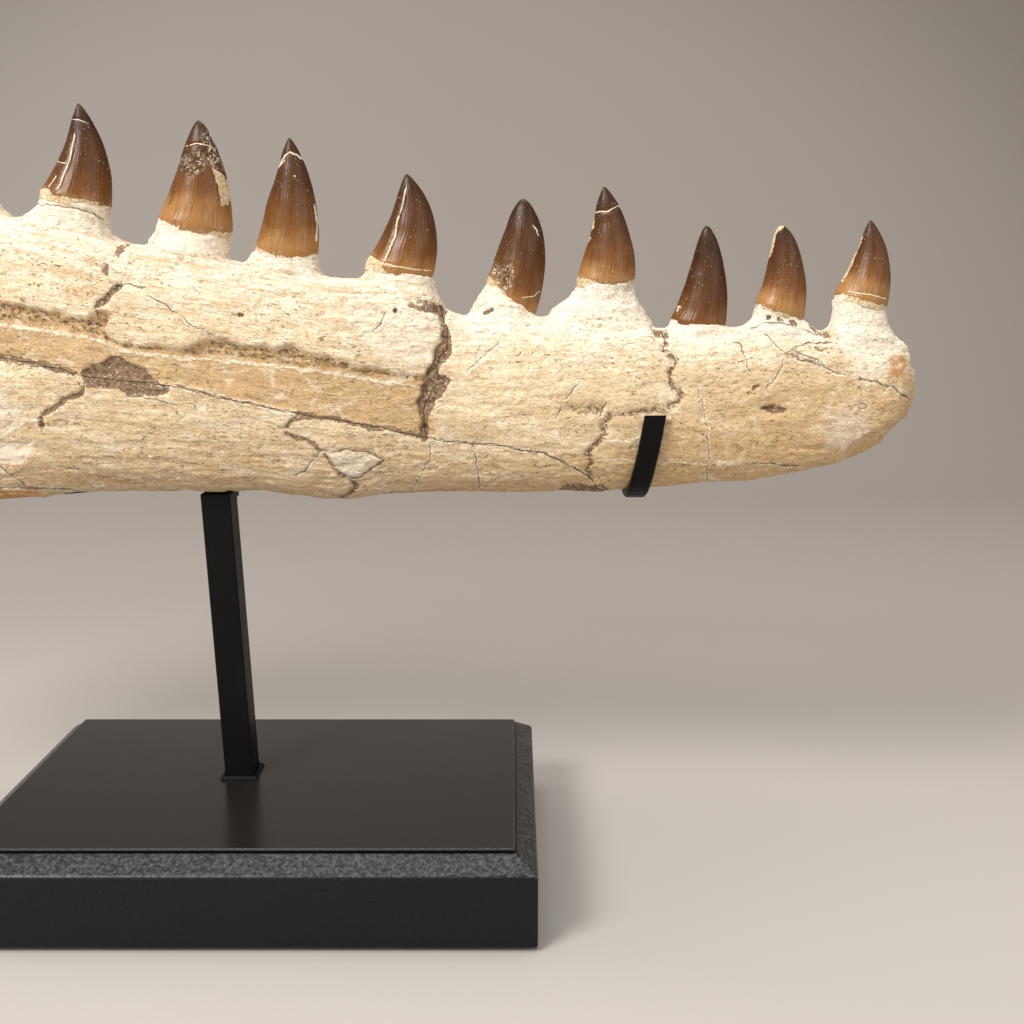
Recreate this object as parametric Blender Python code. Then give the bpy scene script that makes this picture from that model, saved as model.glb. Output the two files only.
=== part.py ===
"""A fossil mosasaur jaw on a museum stand, at life size, in metres with +Z up.

The jaw is the front of one lower jaw: a dentary bone that has broken into three lengths and been put
together again, the splenial bone that lies along the lower part of its inner face, and thirteen tooth
crowns, each on a bony root that is fused to the dentary. The tip of the jaw points along +X and its
inner face looks along -Y. The stand is a bevelled base with a raised panel, a square post, a bar that
follows the outer side of the bone's underside, and two straps that cradle it. The origin is the centre of the
base's underside. The numbers in the tables are millimetres, and MM turns them into metres.
"""

import math
from dataclasses import dataclass

import bpy
import numpy as np

MM = 0.001
GAP = 0.3

# The base and its panel
FELT_LENGTH = 227.0
FELT_DEPTH = 146.0
FELT_THICKNESS = 1.2
BASE_LENGTH = 235.4
BASE_DEPTH = 154.4
BASE_BOTTOM = FELT_THICKNESS + GAP
BASE_FACE_TOP = 31.6
BASE_TOP = 37.2
CHAMFER_RUN = 8.2
BASE_EDGE = 0.8
PANEL_LENGTH = 217.6
PANEL_DEPTH = 136.6
PANEL_TOP = 38.8
PANEL_EDGE = 0.6

# The post leans a little towards the back of the jaw
POST_SIDE = 12.6
POST_EDGE = 0.6
POST_Y = 3.0
POST_FOOT_X = -13.8
POST_HEAD_X = -18.4
COLLAR_SIDE = 16.4
COLLAR_HEIGHT = 1.6
COLLAR_RIM = 0.8
COLLAR_CLEARANCE = 0.4

# The bar under the bone, the tab that joins it to the post, and the straps
SPINE_NEAR = 15.5
SPINE_WIDTH = 8.0
SPINE_THICKNESS = 4.0
SPINE_STEPS = 26
SPINE_REACH = 9.0
TAB_WIDTH = 8.0
TAB_THICKNESS = 4.0
TAB_END = 22.5
STRAP_WIDTH = 8.5
STRAP_THICKNESS = 3.0
STRAP_CLEARANCE = 0.9
STRAP_STEPS = 28
STRAP_CORNER = 0.7
FRONT_STRAP_X = 159.4
FRONT_STRAP_LEAN = 5.6
FRONT_STRAP_TOP = 203.0
FRONT_STRAP_BACK_TOP = 196.0
REAR_STRAP_X = -205.0
REAR_STRAP_LEAN = 4.0
REAR_STRAP_TOP = 206.0
REAR_STRAP_BACK_TOP = 200.0

# Along the jaw, X against Z: the margin that carries the teeth, and the lower edge
TOP_MARGIN = (
    (-310, 296), (-262, 300), (-225, 299.5), (-184, 296), (-140, 290.5), (-98, 282.5), (-50, 272),
    (-6, 264.2), (36, 257.8), (60, 256.5), (73, 254), (80, 245), (87, 241.4), (120, 240.8), (168, 237.2),
    (200, 237), (236, 236.3), (261, 235), (267.3, 233), (270.2, 229.9), (271.8, 223.7), (273.2, 217),
    (274.2, 210),
)
LOWER_EDGE = (
    (-310, 170), (-285, 164), (-240, 161.5), (-190, 162), (-150, 163), (-111, 164.4), (-85, 166.5),
    (-68, 167.8), (-25, 167.8), (2, 168.4), (11, 167), (32, 164.4), (40, 164.5), (48, 165.9), (60, 167),
    (102, 168.3), (130, 168.7), (145, 167.8), (152, 169.3), (166, 170.2), (188, 172.6), (205, 173.4),
    (217, 174.7), (230, 176.5), (246, 180.8), (257, 185.5), (261.4, 187.8), (266, 194.4), (269.2, 198.6),
    (272.2, 202.9), (274.2, 209.4),
)
# X against the greatest thickness, and against the Y of its middle plane
THICKNESS = ((-310, 34), (-285, 42), (-250, 52), (-190, 58), (-60, 58), (40, 54), (120, 49), (190, 43),
             (235, 37), (257, 31), (266, 24), (271.5, 15), (274.2, 6))
MIDDLE_PLANE = ((-310, 9), (-200, 5), (-60, 2), (100, 2), (200, 0.5), (250, -2), (274, -4))
WIDEST_AT = 0.45
TOP_FULLNESS = 3.3
BOTTOM_FULLNESS = 2.3
TOP_NARROWING = 0.14

# Lines on the inner face, X against Z: the broken lower rim of the tooth-bearing part, which stands
# proud of the band under it, and the upper edge of the splenial
LEDGE = ((-310, 262), (-200, 256), (-104, 248), (-86, 246.6), (-72, 244.1), (-60, 242), (-53, 237),
         (-46, 232), (-24, 229.4), (-6, 232.5), (15, 230), (26, 227.6), (43, 223.6), (56, 221), (75, 218),
         (180, 205), (276, 211))
LEDGE_DEPTH = 3.0
LEDGE_END = 76.0
SPLENIAL_EDGE = ((-310, 244), (-200, 238), (-106, 228), (-86, 224.9), (-70, 221.3), (-55, 217.9),
                 (-35, 216.2), (-16, 212.5), (8, 207), (31, 202.8), (50, 199), (73, 194), (92, 191.9),
                 (108, 189.5), (121, 187.5), (127, 184.6), (133, 180.8), (138, 178), (141, 173), (146, 158))
SPLENIAL_INNER_Y = -5.0
SPLENIAL_REAR = ((-296, 243.2), (-301, 226), (-303, 210), (-301, 190), (-295, 174), (-287, 150))
DENTARY_REAR = ((-262, 320), (-273, 297), (-284, 281), (-295, 264), (-290, 250), (-283, 237), (-279, 214),
                (-276, 190), (-279, 150))
# The two breaks across the dentary, from top to bottom
REAR_BREAK = ((77, 330), (78, 247), (79.8, 240), (81.6, 236), (81.4, 229.5), (78, 226), (77.2, 221.7),
              (78.4, 218.4), (76.8, 215), (73.8, 209.7), (71.9, 205.3), (72.4, 199), (72.3, 192),
              (73.8, 184), (70.9, 178), (65.8, 168), (65, 140))
FRONT_BREAK = ((168.5, 330), (168.7, 236.4), (169.8, 232.3), (168.8, 228.1), (172.1, 226.4), (173.8, 223.9),
               (171.4, 220.5), (171.6, 215.4), (175.5, 210.2), (173.8, 207.6), (167.8, 205.1), (159.9, 204.2),
               (147.7, 202.9), (144.2, 199), (145.1, 195.5), (140.8, 191), (138.4, 187.4), (140.1, 183.8),
               (137.8, 180.2), (141.4, 174), (145, 166), (145, 140))

SECTIONS = (
    *range(-310, 60, 10), 60, 67, 71, 75, 79, 83, 88, *range(98, 250, 10), 253, 259, 263, 267, 270,
    272, 273.4, 274.1,
)
OUTER_POINTS = 12
CROWN_SECTIONS = (0.0, 0.14, 0.3, 0.46, 0.62, 0.76, 0.88, 0.96)
CROWN_SIDES = 12
CARINA = 1.75
CROWN_FLATNESS = 0.8
ROOT_SECTIONS = (0.0, 0.08, 0.2, 0.4, 0.65, 1.0)
ROOT_SIDES = 14
ROOT_SUNK = 9.0
ROOT_FLARE = 3.2
ROOT_SPREAD = 3.5
SQUARE = ((-1, -1), (1, -1), (1, 1), (-1, 1))


@dataclass(frozen=True)
class Tooth:
    """One tooth, in millimetres, with X towards the tip of the jaw and Z up.

    rear and front are the ends of the crown's base line as seen from the side, tip is its point, and
    foot is where the root meets the margin behind and in front. bow pushes the middle of the crown
    forward, taper holds the two powers of its outline, and lean is how far the tip leans inwards.
    """

    rear: tuple
    front: tuple
    tip: tuple
    foot: tuple
    bow: float = 4.5
    taper: tuple = (1.35, 0.8)
    lean: float = 3.0


# From the tip of the jaw backwards. The last four stand behind the stretch that is best known.
TEETH = (
    Tooth((240.7, 251.6), (261.6, 245.1), (253.9, 280.6), (236.5, 265.5), bow=4.5, taper=(1.43, 0.79)),
    Tooth((208.3, 248.3), (228.2, 241.0), (218.2, 278.0), (199.5, 234.5), bow=4.6, taper=(1.04, 0.50)),
    Tooth((173.5, 241.0), (196.0, 238.3), (186.7, 278.0), (171.5, 197.5), bow=4.1, taper=(0.95, 0.58)),
    Tooth((134.3, 256.4), (158.1, 255.8), (144.9, 293.4), (120.5, 167.5), bow=4.4, taper=(1.27, 0.73)),
    Tooth((97.7, 257.2), (117.0, 242.0), (112.1, 288.7), (88.5, 118.5), bow=4.3, taper=(1.7, 0.62)),
    Tooth((47.9, 263.7), (74.9, 258.4), (65.1, 298.4), (42.5, 79.5), bow=6.7, taper=(1.26, 0.73)),
    Tooth((2.3, 269.7), (27.5, 267.2), (18.3, 312.4), (-3.0, 30.0), bow=3.1, taper=(1.4, 0.78)),
    Tooth((-36.6, 281.6), (-7.5, 276.0), (-17.9, 319.1), (-43.0, -7.0), bow=3.2, taper=(1.19, 0.68)),
    Tooth((-84.0, 292.2), (-56.6, 285.9), (-65.6, 325.6), (-97.0, -49.5), bow=5.3, taper=(1.07, 0.78)),
    Tooth((-130.5, 301.5), (-104.5, 296.0), (-115.5, 334.5), (-143.0, -97.0), bow=4.8, taper=(1.25, 0.75)),
    Tooth((-174.5, 308.4), (-150.5, 304.4), (-162.5, 340.2), (-186.0, -143.0), bow=4.6, taper=(1.3, 0.75)),
    Tooth((-217.0, 312.4), (-194.5, 309.6), (-207.0, 340.6), (-228.0, -187.0), bow=4.4, taper=(1.3, 0.75)),
    Tooth((-256.0, 312.6), (-235.5, 310.8), (-248.5, 336.4), (-264.0, -229.0), bow=4.0, taper=(1.3, 0.75)),
)


def clear_scene():
    """Removes what the scene holds at the start."""
    for obj in list(bpy.data.objects):
        bpy.data.objects.remove(obj)


def make_material(name, colour, roughness, metallic=0.0):
    """A plain Principled material."""
    material = bpy.data.materials.new(name)
    material.use_nodes = True
    shader = material.node_tree.nodes["Principled BSDF"]
    shader.inputs["Base Color"].default_value = (*colour, 1.0)
    shader.inputs["Roughness"].default_value = roughness
    shader.inputs["Metallic"].default_value = metallic
    return material


def volume_of(points, faces):
    """Six times the volume inside a closed skin, negative if the faces look inwards."""
    corners = np.array([[points[f[0]], points[a], points[b]] for f in faces for a, b in zip(f[1:], f[2:])])
    return float(np.linalg.det(corners).sum())


def make_object(name, points, faces, material=None):
    """A mesh object from points in millimetres, its faces turned outwards."""
    if volume_of(points, faces) < 0:
        faces = [face[::-1] for face in faces]
    mesh = bpy.data.meshes.new(name)
    mesh.from_pydata([tuple(float(c) * MM for c in p) for p in points], [], faces)
    mesh.validate()
    if material is not None:
        mesh.materials.append(material)
    obj = bpy.data.objects.new(name, mesh)
    bpy.context.scene.collection.objects.link(obj)
    return obj


def shade(obj, degrees=35.0):
    """Smooth shading that keeps edges over that angle sharp."""
    obj.data.shade_smooth()
    obj.data.set_sharp_from_angle(angle=math.radians(degrees))


def add_bevel(obj, width, segments=2):
    """A Bevel modifier on the object's sharp edges, its width in millimetres."""
    bevel = obj.modifiers.new("Bevel", "BEVEL")
    bevel.width = width * MM
    bevel.segments = segments
    bevel.limit_method = "ANGLE"
    bevel.angle_limit = math.radians(30)


def loft(rings):
    """Points and faces of a skin over rings of the same number of points, with both ends closed. The
    last ring may be one point."""
    points = [tuple(p) for ring in rings for p in ring]
    starts = np.cumsum([0] + [len(ring) for ring in rings])
    faces = []
    for k in range(len(rings) - 1):
        here, there, count = starts[k], starts[k + 1], len(rings[k])
        for i in range(count):
            j = (i + 1) % count
            if len(rings[k + 1]) == 1:
                faces.append((int(here + i), int(here + j), int(there)))
            else:
                faces.append((int(here + i), int(here + j), int(there + j), int(there + i)))
    faces.append(tuple(range(len(rings[0]) - 1, -1, -1)))
    if len(rings[-1]) > 1:
        faces.append(tuple(range(int(starts[-2]), int(starts[-1]))))
    return points, faces


def apply_boolean(obj, other, operation):
    """Joins, cuts or intersects obj with a mesh object or a collection, and applies it."""
    modifier = obj.modifiers.new("Boolean", "BOOLEAN")
    modifier.operation = operation
    modifier.solver = "EXACT"
    if isinstance(other, bpy.types.Collection):
        modifier.operand_type = "COLLECTION"
        modifier.collection = other
    else:
        modifier.object = other
    graph = bpy.context.evaluated_depsgraph_get()
    made = bpy.data.meshes.new_from_object(obj.evaluated_get(graph))
    obj.modifiers.clear()
    obj.data = made


def keep_largest(obj):
    """Keeps only the mesh's largest connected surface, by the number of its points."""
    mesh = obj.data
    group = np.arange(len(mesh.vertices))
    edges = np.array([e.vertices[:] for e in mesh.edges])
    while True:
        low = np.minimum(group[edges[:, 0]], group[edges[:, 1]])
        moved = group.copy()
        np.minimum.at(moved, edges[:, 0], low)
        np.minimum.at(moved, edges[:, 1], low)
        moved = moved[moved]
        if np.array_equal(moved, group):
            break
        group = moved
    names, counts = np.unique(group, return_counts=True)
    kept = group == names[np.argmax(counts)]
    index = np.cumsum(kept) - 1
    points = [np.array(v.co) / MM for v in mesh.vertices if kept[v.index]]
    faces = [tuple(int(index[i]) for i in f.vertices) for f in mesh.polygons if kept[f.vertices[0]]]
    fresh = bpy.data.meshes.new(mesh.name)
    fresh.from_pydata([tuple(p * MM) for p in points], [], faces)
    for material in mesh.materials:
        fresh.materials.append(material)
    obj.data = fresh


def along(line, x):
    """The value at x of a line of (x, value) points."""
    return float(np.interp(x, [p[0] for p in line], [p[1] for p in line]))


def half_width(x, z):
    """Half the bone's thickness at a height, before the ledge is cut in."""
    low, high = along(LOWER_EDGE, x), along(TOP_MARGIN, x)
    middle = low + WIDEST_AT * (high - low)
    upper = z > middle
    reach = min(1.0, (z - middle) / (high - middle) if upper else (middle - z) / (middle - low))
    power = TOP_FULLNESS if upper else BOTTOM_FULLNESS
    narrowing = 1 - TOP_NARROWING * reach if upper else 1.0
    return along(THICKNESS, x) / 2 * narrowing * (1 - reach**power) ** (1 / power)


def ledge_cut(x, z):
    """How far the inner face is set back at a point under the ledge and over the splenial."""
    if x > LEDGE_END or z > along(LEDGE, x) or z < along(SPLENIAL_EDGE, x):
        return 0.0
    return LEDGE_DEPTH


def jaw_ring(x):
    """One section of the bone: down the outer face from the top, then up the inner face."""
    low, high = along(LOWER_EDGE, x), along(TOP_MARGIN, x)
    middle = low + WIDEST_AT * (high - low)
    y = along(MIDDLE_PLANE, x)
    ring = []
    for angle in np.linspace(math.pi / 2, -math.pi / 2, OUTER_POINTS):
        upper = angle > 0
        power = TOP_FULLNESS if upper else BOTTOM_FULLNESS
        share = abs(math.sin(angle)) ** (2 / power)
        z = middle + (high - middle) * share if upper else middle - (middle - low) * share
        ring.append((x, y + half_width(x, z), z))
    ledge = min(along(LEDGE, x), high - 0.25 * (high - low))
    edge = min(max(along(SPLENIAL_EDGE, x), low + 0.2 * (high - low)), ledge - 0.15 * (high - low))
    heights = [low + (edge - low) * (1 - math.cos(k * math.pi / 8)) for k in (1, 2, 3)]
    step = min(1.0, 0.02 * (high - low))
    heights += [edge, edge + step, edge + (ledge - edge) * 0.5, ledge - step, ledge + step]
    heights += [ledge + (high - ledge) * math.sin(k * math.pi / 10) for k in (1, 2, 3, 4)]
    for z in heights:
        ring.append((x, y - half_width(x, z) + ledge_cut(x, z), z))
    return ring


def prism(name, outline, near, far):
    """A closed helper solid: an outline in X and Z, from one Y to another."""
    area = sum(a[0] * b[1] - b[0] * a[1] for a, b in zip(outline, outline[1:] + outline[:1]))
    turn = outline if area > 0 else outline[::-1]
    rings = [[(x, far, z) for x, z in turn], [(x, near, z) for x, z in turn]]
    obj = make_object(name, *loft(rings))
    obj.hide_render = True
    obj.display_type = "WIRE"
    return obj


def shifted(line, dx=0.0, dz=0.0):
    """The same line moved in X or Z."""
    return [(x + dx, z + dz) for x, z in line]


def root_top(tooth):
    """The root's end points in the side view, just under the crown's base line."""
    rear, front = np.array(tooth.rear), np.array(tooth.front)
    across = (front - rear) / np.linalg.norm(front - rear)
    down = np.array((across[1], -across[0])) * GAP
    return rear + down, front + down


def root_rings(tooth):
    """The rings of a tooth's bony root, from deep in the jaw up to the crown's base."""
    rear, front = root_top(tooth)
    top_half = np.linalg.norm(front - rear) / 2
    rings = []
    for share in (-1.0, *ROOT_SECTIONS):
        level = max(share, 0.0)
        inward = 1 - (1 - level) ** ROOT_FLARE
        ends = []
        for foot, head in zip(tooth.foot, (rear, front)):
            z = along(TOP_MARGIN, foot)
            end = np.array((foot + (head[0] - foot) * inward, z + (head[1] - z) * level))
            ends.append(end - np.array((0.0, ROOT_SUNK if share < 0 else 1.0 - level)))
        centre, half = (ends[0] + ends[1]) / 2, (ends[1] - ends[0]) / 2
        width = top_half * CROWN_FLATNESS + ROOT_SPREAD * (1 - level) ** 2
        y = along(MIDDLE_PLANE, centre[0])
        rings.append(oval(centre, half, y, width, ROOT_SIDES, 2.0))
    return rings


def oval(centre, half, y, width, sides, power):
    """A ring round an axis that points up: half is its long half in X and Z, width its half in Y."""
    ring = []
    for k in range(sides):
        angle = 2 * math.pi * k / sides
        c, s = math.cos(angle), math.sin(angle)
        long_part = math.copysign(abs(c) ** (2 / power), c)
        side_part = math.copysign(abs(s) ** (2 / power), s)
        ring.append((centre[0] + half[0] * long_part, y + width * side_part, centre[1] + half[1] * long_part))
    return ring


def crown_rings(tooth):
    """The rings of a crown, from its base line to its point."""
    rear, front, tip = (np.array(p) for p in (tooth.rear, tooth.front, tooth.tip))
    base = (rear + front) / 2
    control = (base + tip) / 2 + np.array((tooth.bow, 0.0))
    half = (front - rear) / 2
    flat = np.array((np.linalg.norm(half), 0.0))
    y = along(MIDDLE_PLANE, base[0])
    rings = []
    for t in CROWN_SECTIONS:
        centre = base * (1 - t) ** 2 + control * 2 * t * (1 - t) + tip * t**2
        size = (1 - t ** tooth.taper[0]) ** tooth.taper[1]
        turned = half * (1 - t) ** 2 + flat * (1 - (1 - t) ** 2)
        width = np.linalg.norm(half) * CROWN_FLATNESS * size
        rings.append(oval(centre, turned * size, y - tooth.lean * t**2, width, CROWN_SIDES, CARINA))
    rings.append([(tip[0], y - tooth.lean, tip[1])])
    return rings


def make_dentary_and_splenial(bone):
    """The bones: one body with the roots fused on, parted at the splenial and at the two breaks."""
    body = make_object("body", *loft([jaw_ring(x) for x in SECTIONS]))
    roots = bpy.data.collections.new("roots")
    bpy.context.scene.collection.children.link(roots)
    for number, tooth in enumerate(TEETH, 1):
        root = make_object(f"root_{number:02d}", *loft(root_rings(tooth)))
        bpy.context.scene.collection.objects.unlink(root)
        roots.objects.link(root)
    apply_boolean(body, roots, "UNION")
    for root in list(roots.objects):
        bpy.data.objects.remove(root)
    bpy.data.collections.remove(roots)
    keep_largest(body)

    edge = list(SPLENIAL_EDGE)
    under = prism("under_splenial_edge", [(150, 140), (-320, 140)] + edge, -60.0, SPLENIAL_INNER_Y)
    inside = [(150, 139)] + list(SPLENIAL_REAR[::-1]) + edge[1:]
    splenial_zone = prism("splenial_zone", shifted(inside, dz=-GAP), -61.0, SPLENIAL_INNER_Y - GAP)
    zones = {
        "dentary_rear": list(DENTARY_REAR) + shifted(REAR_BREAK[::-1], dx=-GAP / 2),
        "dentary_middle": shifted(REAR_BREAK, dx=GAP / 2) + shifted(FRONT_BREAK[::-1], dx=-GAP / 2),
        "dentary_front": shifted(FRONT_BREAK, dx=GAP / 2) + [(320, 140), (320, 330)],
    }
    made = {}
    for name, outline in zones.items():
        piece = bpy.data.objects.new(name, body.data.copy())
        bpy.context.scene.collection.objects.link(piece)
        zone = prism("zone", outline, -62.0, 62.0)
        apply_boolean(piece, zone, "INTERSECT")
        apply_boolean(piece, under, "DIFFERENCE")
        bpy.data.objects.remove(zone)
        made[name] = piece
    splenial = bpy.data.objects.new("splenial", body.data.copy())
    bpy.context.scene.collection.objects.link(splenial)
    apply_boolean(splenial, splenial_zone, "INTERSECT")
    made["splenial"] = splenial
    for helper in (body, under, splenial_zone):
        bpy.data.objects.remove(helper)
    for piece in made.values():
        keep_largest(piece)
        piece.data.materials.clear()
        piece.data.materials.append(bone)
        shade(piece)


def make_crowns(enamel):
    """The thirteen tooth crowns, numbered from the tip of the jaw."""
    for number, tooth in enumerate(TEETH, 1):
        shade(make_object(f"tooth_{number:02d}", *loft(crown_rings(tooth)), enamel), 50)


def box(name, length, depth, low, high, material, x=0.0, y=0.0):
    """An upright box centred on a point in plan."""
    rings = [[(x + a * length / 2, y + b * depth / 2, z) for a, b in SQUARE] for z in (low, high)]
    return make_object(name, *loft(rings), material)


def make_base(lacquer, felt):
    """The felt, the bevelled block and the raised panel."""
    box("stand_felt", FELT_LENGTH, FELT_DEPTH, 0.0, FELT_THICKNESS, felt)
    levels = ((BASE_BOTTOM, 0.0), (BASE_FACE_TOP, 0.0), (BASE_TOP, CHAMFER_RUN))
    rings = [
        [(a * (BASE_LENGTH / 2 - inset), b * (BASE_DEPTH / 2 - inset), z) for a, b in SQUARE]
        for z, inset in levels
    ]
    block = make_object("stand_base", *loft(rings), lacquer)
    add_bevel(block, BASE_EDGE)
    panel = box("stand_panel", PANEL_LENGTH, PANEL_DEPTH, BASE_TOP + GAP, PANEL_TOP, lacquer)
    add_bevel(panel, PANEL_EDGE)


def post_x(z, head_z):
    """The X of the leaning post's axis at a height."""
    return POST_FOOT_X + (POST_HEAD_X - POST_FOOT_X) * (z - PANEL_TOP) / (head_z - PANEL_TOP)


def underside(x, y):
    """The height of the bone's lower surface over a point in plan."""
    offset = abs(y - along(MIDDLE_PLANE, x)) / (along(THICKNESS, x) / 2)
    low, high = along(LOWER_EDGE, x), along(TOP_MARGIN, x)
    rise = 1 - (1 - min(offset, 0.999) ** BOTTOM_FULLNESS) ** (1 / BOTTOM_FULLNESS)
    return low + WIDEST_AT * (high - low) * rise


def make_post(steel):
    """The square post and the collar round its foot."""
    half = POST_SIDE / 2
    reach = np.linspace(-half, half, 5)
    head = min(underside(POST_HEAD_X + a, POST_Y + b) for a in reach for b in reach) - GAP
    rings = []
    for z in (PANEL_TOP + GAP, head):
        x = post_x(z, head)
        rings.append([(x + a * half, POST_Y + b * half, z) for a, b in SQUARE])
    post = make_object("stand_post", *loft(rings), steel)
    add_bevel(post, POST_EDGE)

    hole = half + COLLAR_CLEARANCE
    foot, rim = PANEL_TOP + GAP, PANEL_TOP + COLLAR_HEIGHT
    points, faces = [], []
    for z, side in ((foot, COLLAR_SIDE / 2), (rim, hole + COLLAR_RIM), (rim, hole), (foot, hole)):
        x = post_x(z, head)
        points += [(x + a * side, POST_Y + b * side, z) for a, b in SQUARE]
    for k in range(4):
        here, there = 4 * k, 4 * ((k + 1) % 4)
        for i in range(4):
            j = (i + 1) % 4
            faces.append((here + i, here + j, there + j, there + i))
    make_object("stand_post_collar", points, faces, steel)


def spine_top(x):
    """The height of the bar's upper face, which clears the bone for a little way on both sides."""
    about = np.linspace(x - SPINE_REACH, x + SPINE_REACH, 9)
    return min(underside(a, SPINE_NEAR) for a in about) - STRAP_CLEARANCE


def make_spine(steel):
    """The bar that follows the outer side of the bone's underside, and the tab that joins it to the post."""
    far = SPINE_NEAR + SPINE_WIDTH
    start = REAR_STRAP_X + STRAP_WIDTH / 2 + GAP
    end = FRONT_STRAP_X - STRAP_WIDTH / 2 - GAP
    rings = []
    for x in np.linspace(start, end, SPINE_STEPS):
        top = spine_top(x)
        rings.append([(x, SPINE_NEAR, top - SPINE_THICKNESS), (x, far, top - SPINE_THICKNESS),
                      (x, far, top), (x, SPINE_NEAR, top)])
    shade(make_object("stand_spine", *loft(rings), steel), 25)

    near = POST_Y + POST_SIDE / 2 + GAP
    lowest = min(spine_top(POST_HEAD_X + a) for a in (-TAB_WIDTH, 0, TAB_WIDTH)) - SPINE_THICKNESS
    box("stand_tab", TAB_WIDTH, TAB_END - near, lowest - GAP - TAB_THICKNESS, lowest - GAP, steel,
        POST_HEAD_X, (near + TAB_END) / 2)


def strap_line(x, back_top, top):
    """The points that a strap's middle follows round the bone, and the directions away from the bone."""
    low = along(LOWER_EDGE, x)
    y = along(MIDDLE_PLANE, x)
    line = []
    for side, limit in ((1, back_top), (-1, top)):
        turns = np.linspace(0, math.pi / 2, STRAP_STEPS // 2)
        heights = [low + (limit - low) * (1 - math.cos(a)) for a in turns]
        part = [(y + side * half_width(x, z), z) for z in heights]
        line += part[:0:-1] if side == 1 else part
    line = np.array(line)
    ahead = np.gradient(line, axis=0)
    ahead /= np.linalg.norm(ahead, axis=1)[:, None]
    return line, np.stack([ahead[:, 1], -ahead[:, 0]], axis=1)


def make_strap(name, steel, x, lean, back_top, top):
    """A strap bent round the bone, from its outer face under it and up its inner face."""
    line, away = strap_line(x, back_top, top)
    away = away if away[len(away) // 2][1] < 0 else -away
    low = line[:, 1].min()
    rings = []
    half, corner = STRAP_WIDTH / 2, STRAP_CORNER
    for (y, z), (out_y, out_z) in zip(line, away):
        shift = lean * (z - low) / (top - low) if y < along(MIDDLE_PLANE, x) else 0.0
        ring = []
        for across, depth in ((-half, 0), (half, 0), (half, STRAP_THICKNESS - corner),
                              (half - corner, STRAP_THICKNESS), (corner - half, STRAP_THICKNESS),
                              (-half, STRAP_THICKNESS - corner)):
            reach = STRAP_CLEARANCE + depth
            ring.append((x + shift + across, y + out_y * reach, z + out_z * reach))
        rings.append(ring)
    shade(make_object(name, *loft(rings), steel), 40)


def main():
    """Builds the jaw and its stand."""
    clear_scene()
    bone = make_material("fossil_bone", (0.80, 0.66, 0.46), 0.75)
    enamel = make_material("tooth_enamel", (0.25, 0.11, 0.04), 0.25)
    lacquer = make_material("black_lacquer", (0.02, 0.02, 0.02), 0.4)
    steel = make_material("black_steel", (0.012, 0.012, 0.012), 0.45)
    felt = make_material("felt", (0.03, 0.03, 0.03), 0.95)
    make_dentary_and_splenial(bone)
    make_crowns(enamel)
    make_base(lacquer, felt)
    make_post(steel)
    make_spine(steel)
    make_strap("stand_strap_front", steel, FRONT_STRAP_X, FRONT_STRAP_LEAN, FRONT_STRAP_BACK_TOP,
               FRONT_STRAP_TOP)
    make_strap("stand_strap_rear", steel, REAR_STRAP_X, REAR_STRAP_LEAN, REAR_STRAP_BACK_TOP,
               REAR_STRAP_TOP)


main()
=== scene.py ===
"""The looks of a fossil mosasaur jaw on its museum stand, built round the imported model.

Lengths in the classes are millimetres unless a name says otherwise, and MM turns them into metres. X runs
along the jaw towards its tip, Z is up, and the inner face of the jaw looks along -Y, towards the camera.
"""

import logging
import math
from dataclasses import dataclass, field
from enum import Enum
from typing import Any

import bpy
import numpy as np
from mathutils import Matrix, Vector


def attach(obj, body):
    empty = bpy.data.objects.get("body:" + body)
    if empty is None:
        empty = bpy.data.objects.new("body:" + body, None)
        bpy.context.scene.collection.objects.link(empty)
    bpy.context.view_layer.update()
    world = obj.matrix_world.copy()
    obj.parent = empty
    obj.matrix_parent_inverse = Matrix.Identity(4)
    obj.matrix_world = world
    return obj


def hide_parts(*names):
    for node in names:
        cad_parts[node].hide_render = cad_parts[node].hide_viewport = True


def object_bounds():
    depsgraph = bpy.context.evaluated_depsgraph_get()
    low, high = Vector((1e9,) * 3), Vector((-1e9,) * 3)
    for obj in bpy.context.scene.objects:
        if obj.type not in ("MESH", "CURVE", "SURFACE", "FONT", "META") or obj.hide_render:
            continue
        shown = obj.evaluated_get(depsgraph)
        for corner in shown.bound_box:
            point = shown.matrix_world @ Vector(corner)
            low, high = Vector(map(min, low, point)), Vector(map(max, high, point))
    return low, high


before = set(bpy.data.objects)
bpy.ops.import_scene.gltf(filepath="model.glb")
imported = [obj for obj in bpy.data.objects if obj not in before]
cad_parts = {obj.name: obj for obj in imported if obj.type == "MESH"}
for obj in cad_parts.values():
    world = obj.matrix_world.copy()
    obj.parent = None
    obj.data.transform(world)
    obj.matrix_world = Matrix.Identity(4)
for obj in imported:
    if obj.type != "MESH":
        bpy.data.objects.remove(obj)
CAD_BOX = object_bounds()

MM = 0.001
GAP = 0.3
ROOT_FLARE = 2.4
ROOT_STEPS = (1.0, 0.62, 0.3, 0.0)
LOG = logging.getLogger("jaw")

Point = tuple[float, float]
Line = tuple[Point, ...]
Triple = tuple[float, float, float]
Colour = Triple


def smooth_step(value: np.ndarray, low: float, high: float) -> np.ndarray:
    """Eases from 0 at low to 1 at high.

    Args:
        value: Numbers to ease.
        low: Where the result is 0.
        high: Where the result is 1, which may be under low.

    Returns:
        The eased numbers.
    """
    share = np.clip((value - low) / (high - low), 0.0, 1.0)
    return share * share * (3.0 - 2.0 * share)


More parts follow.
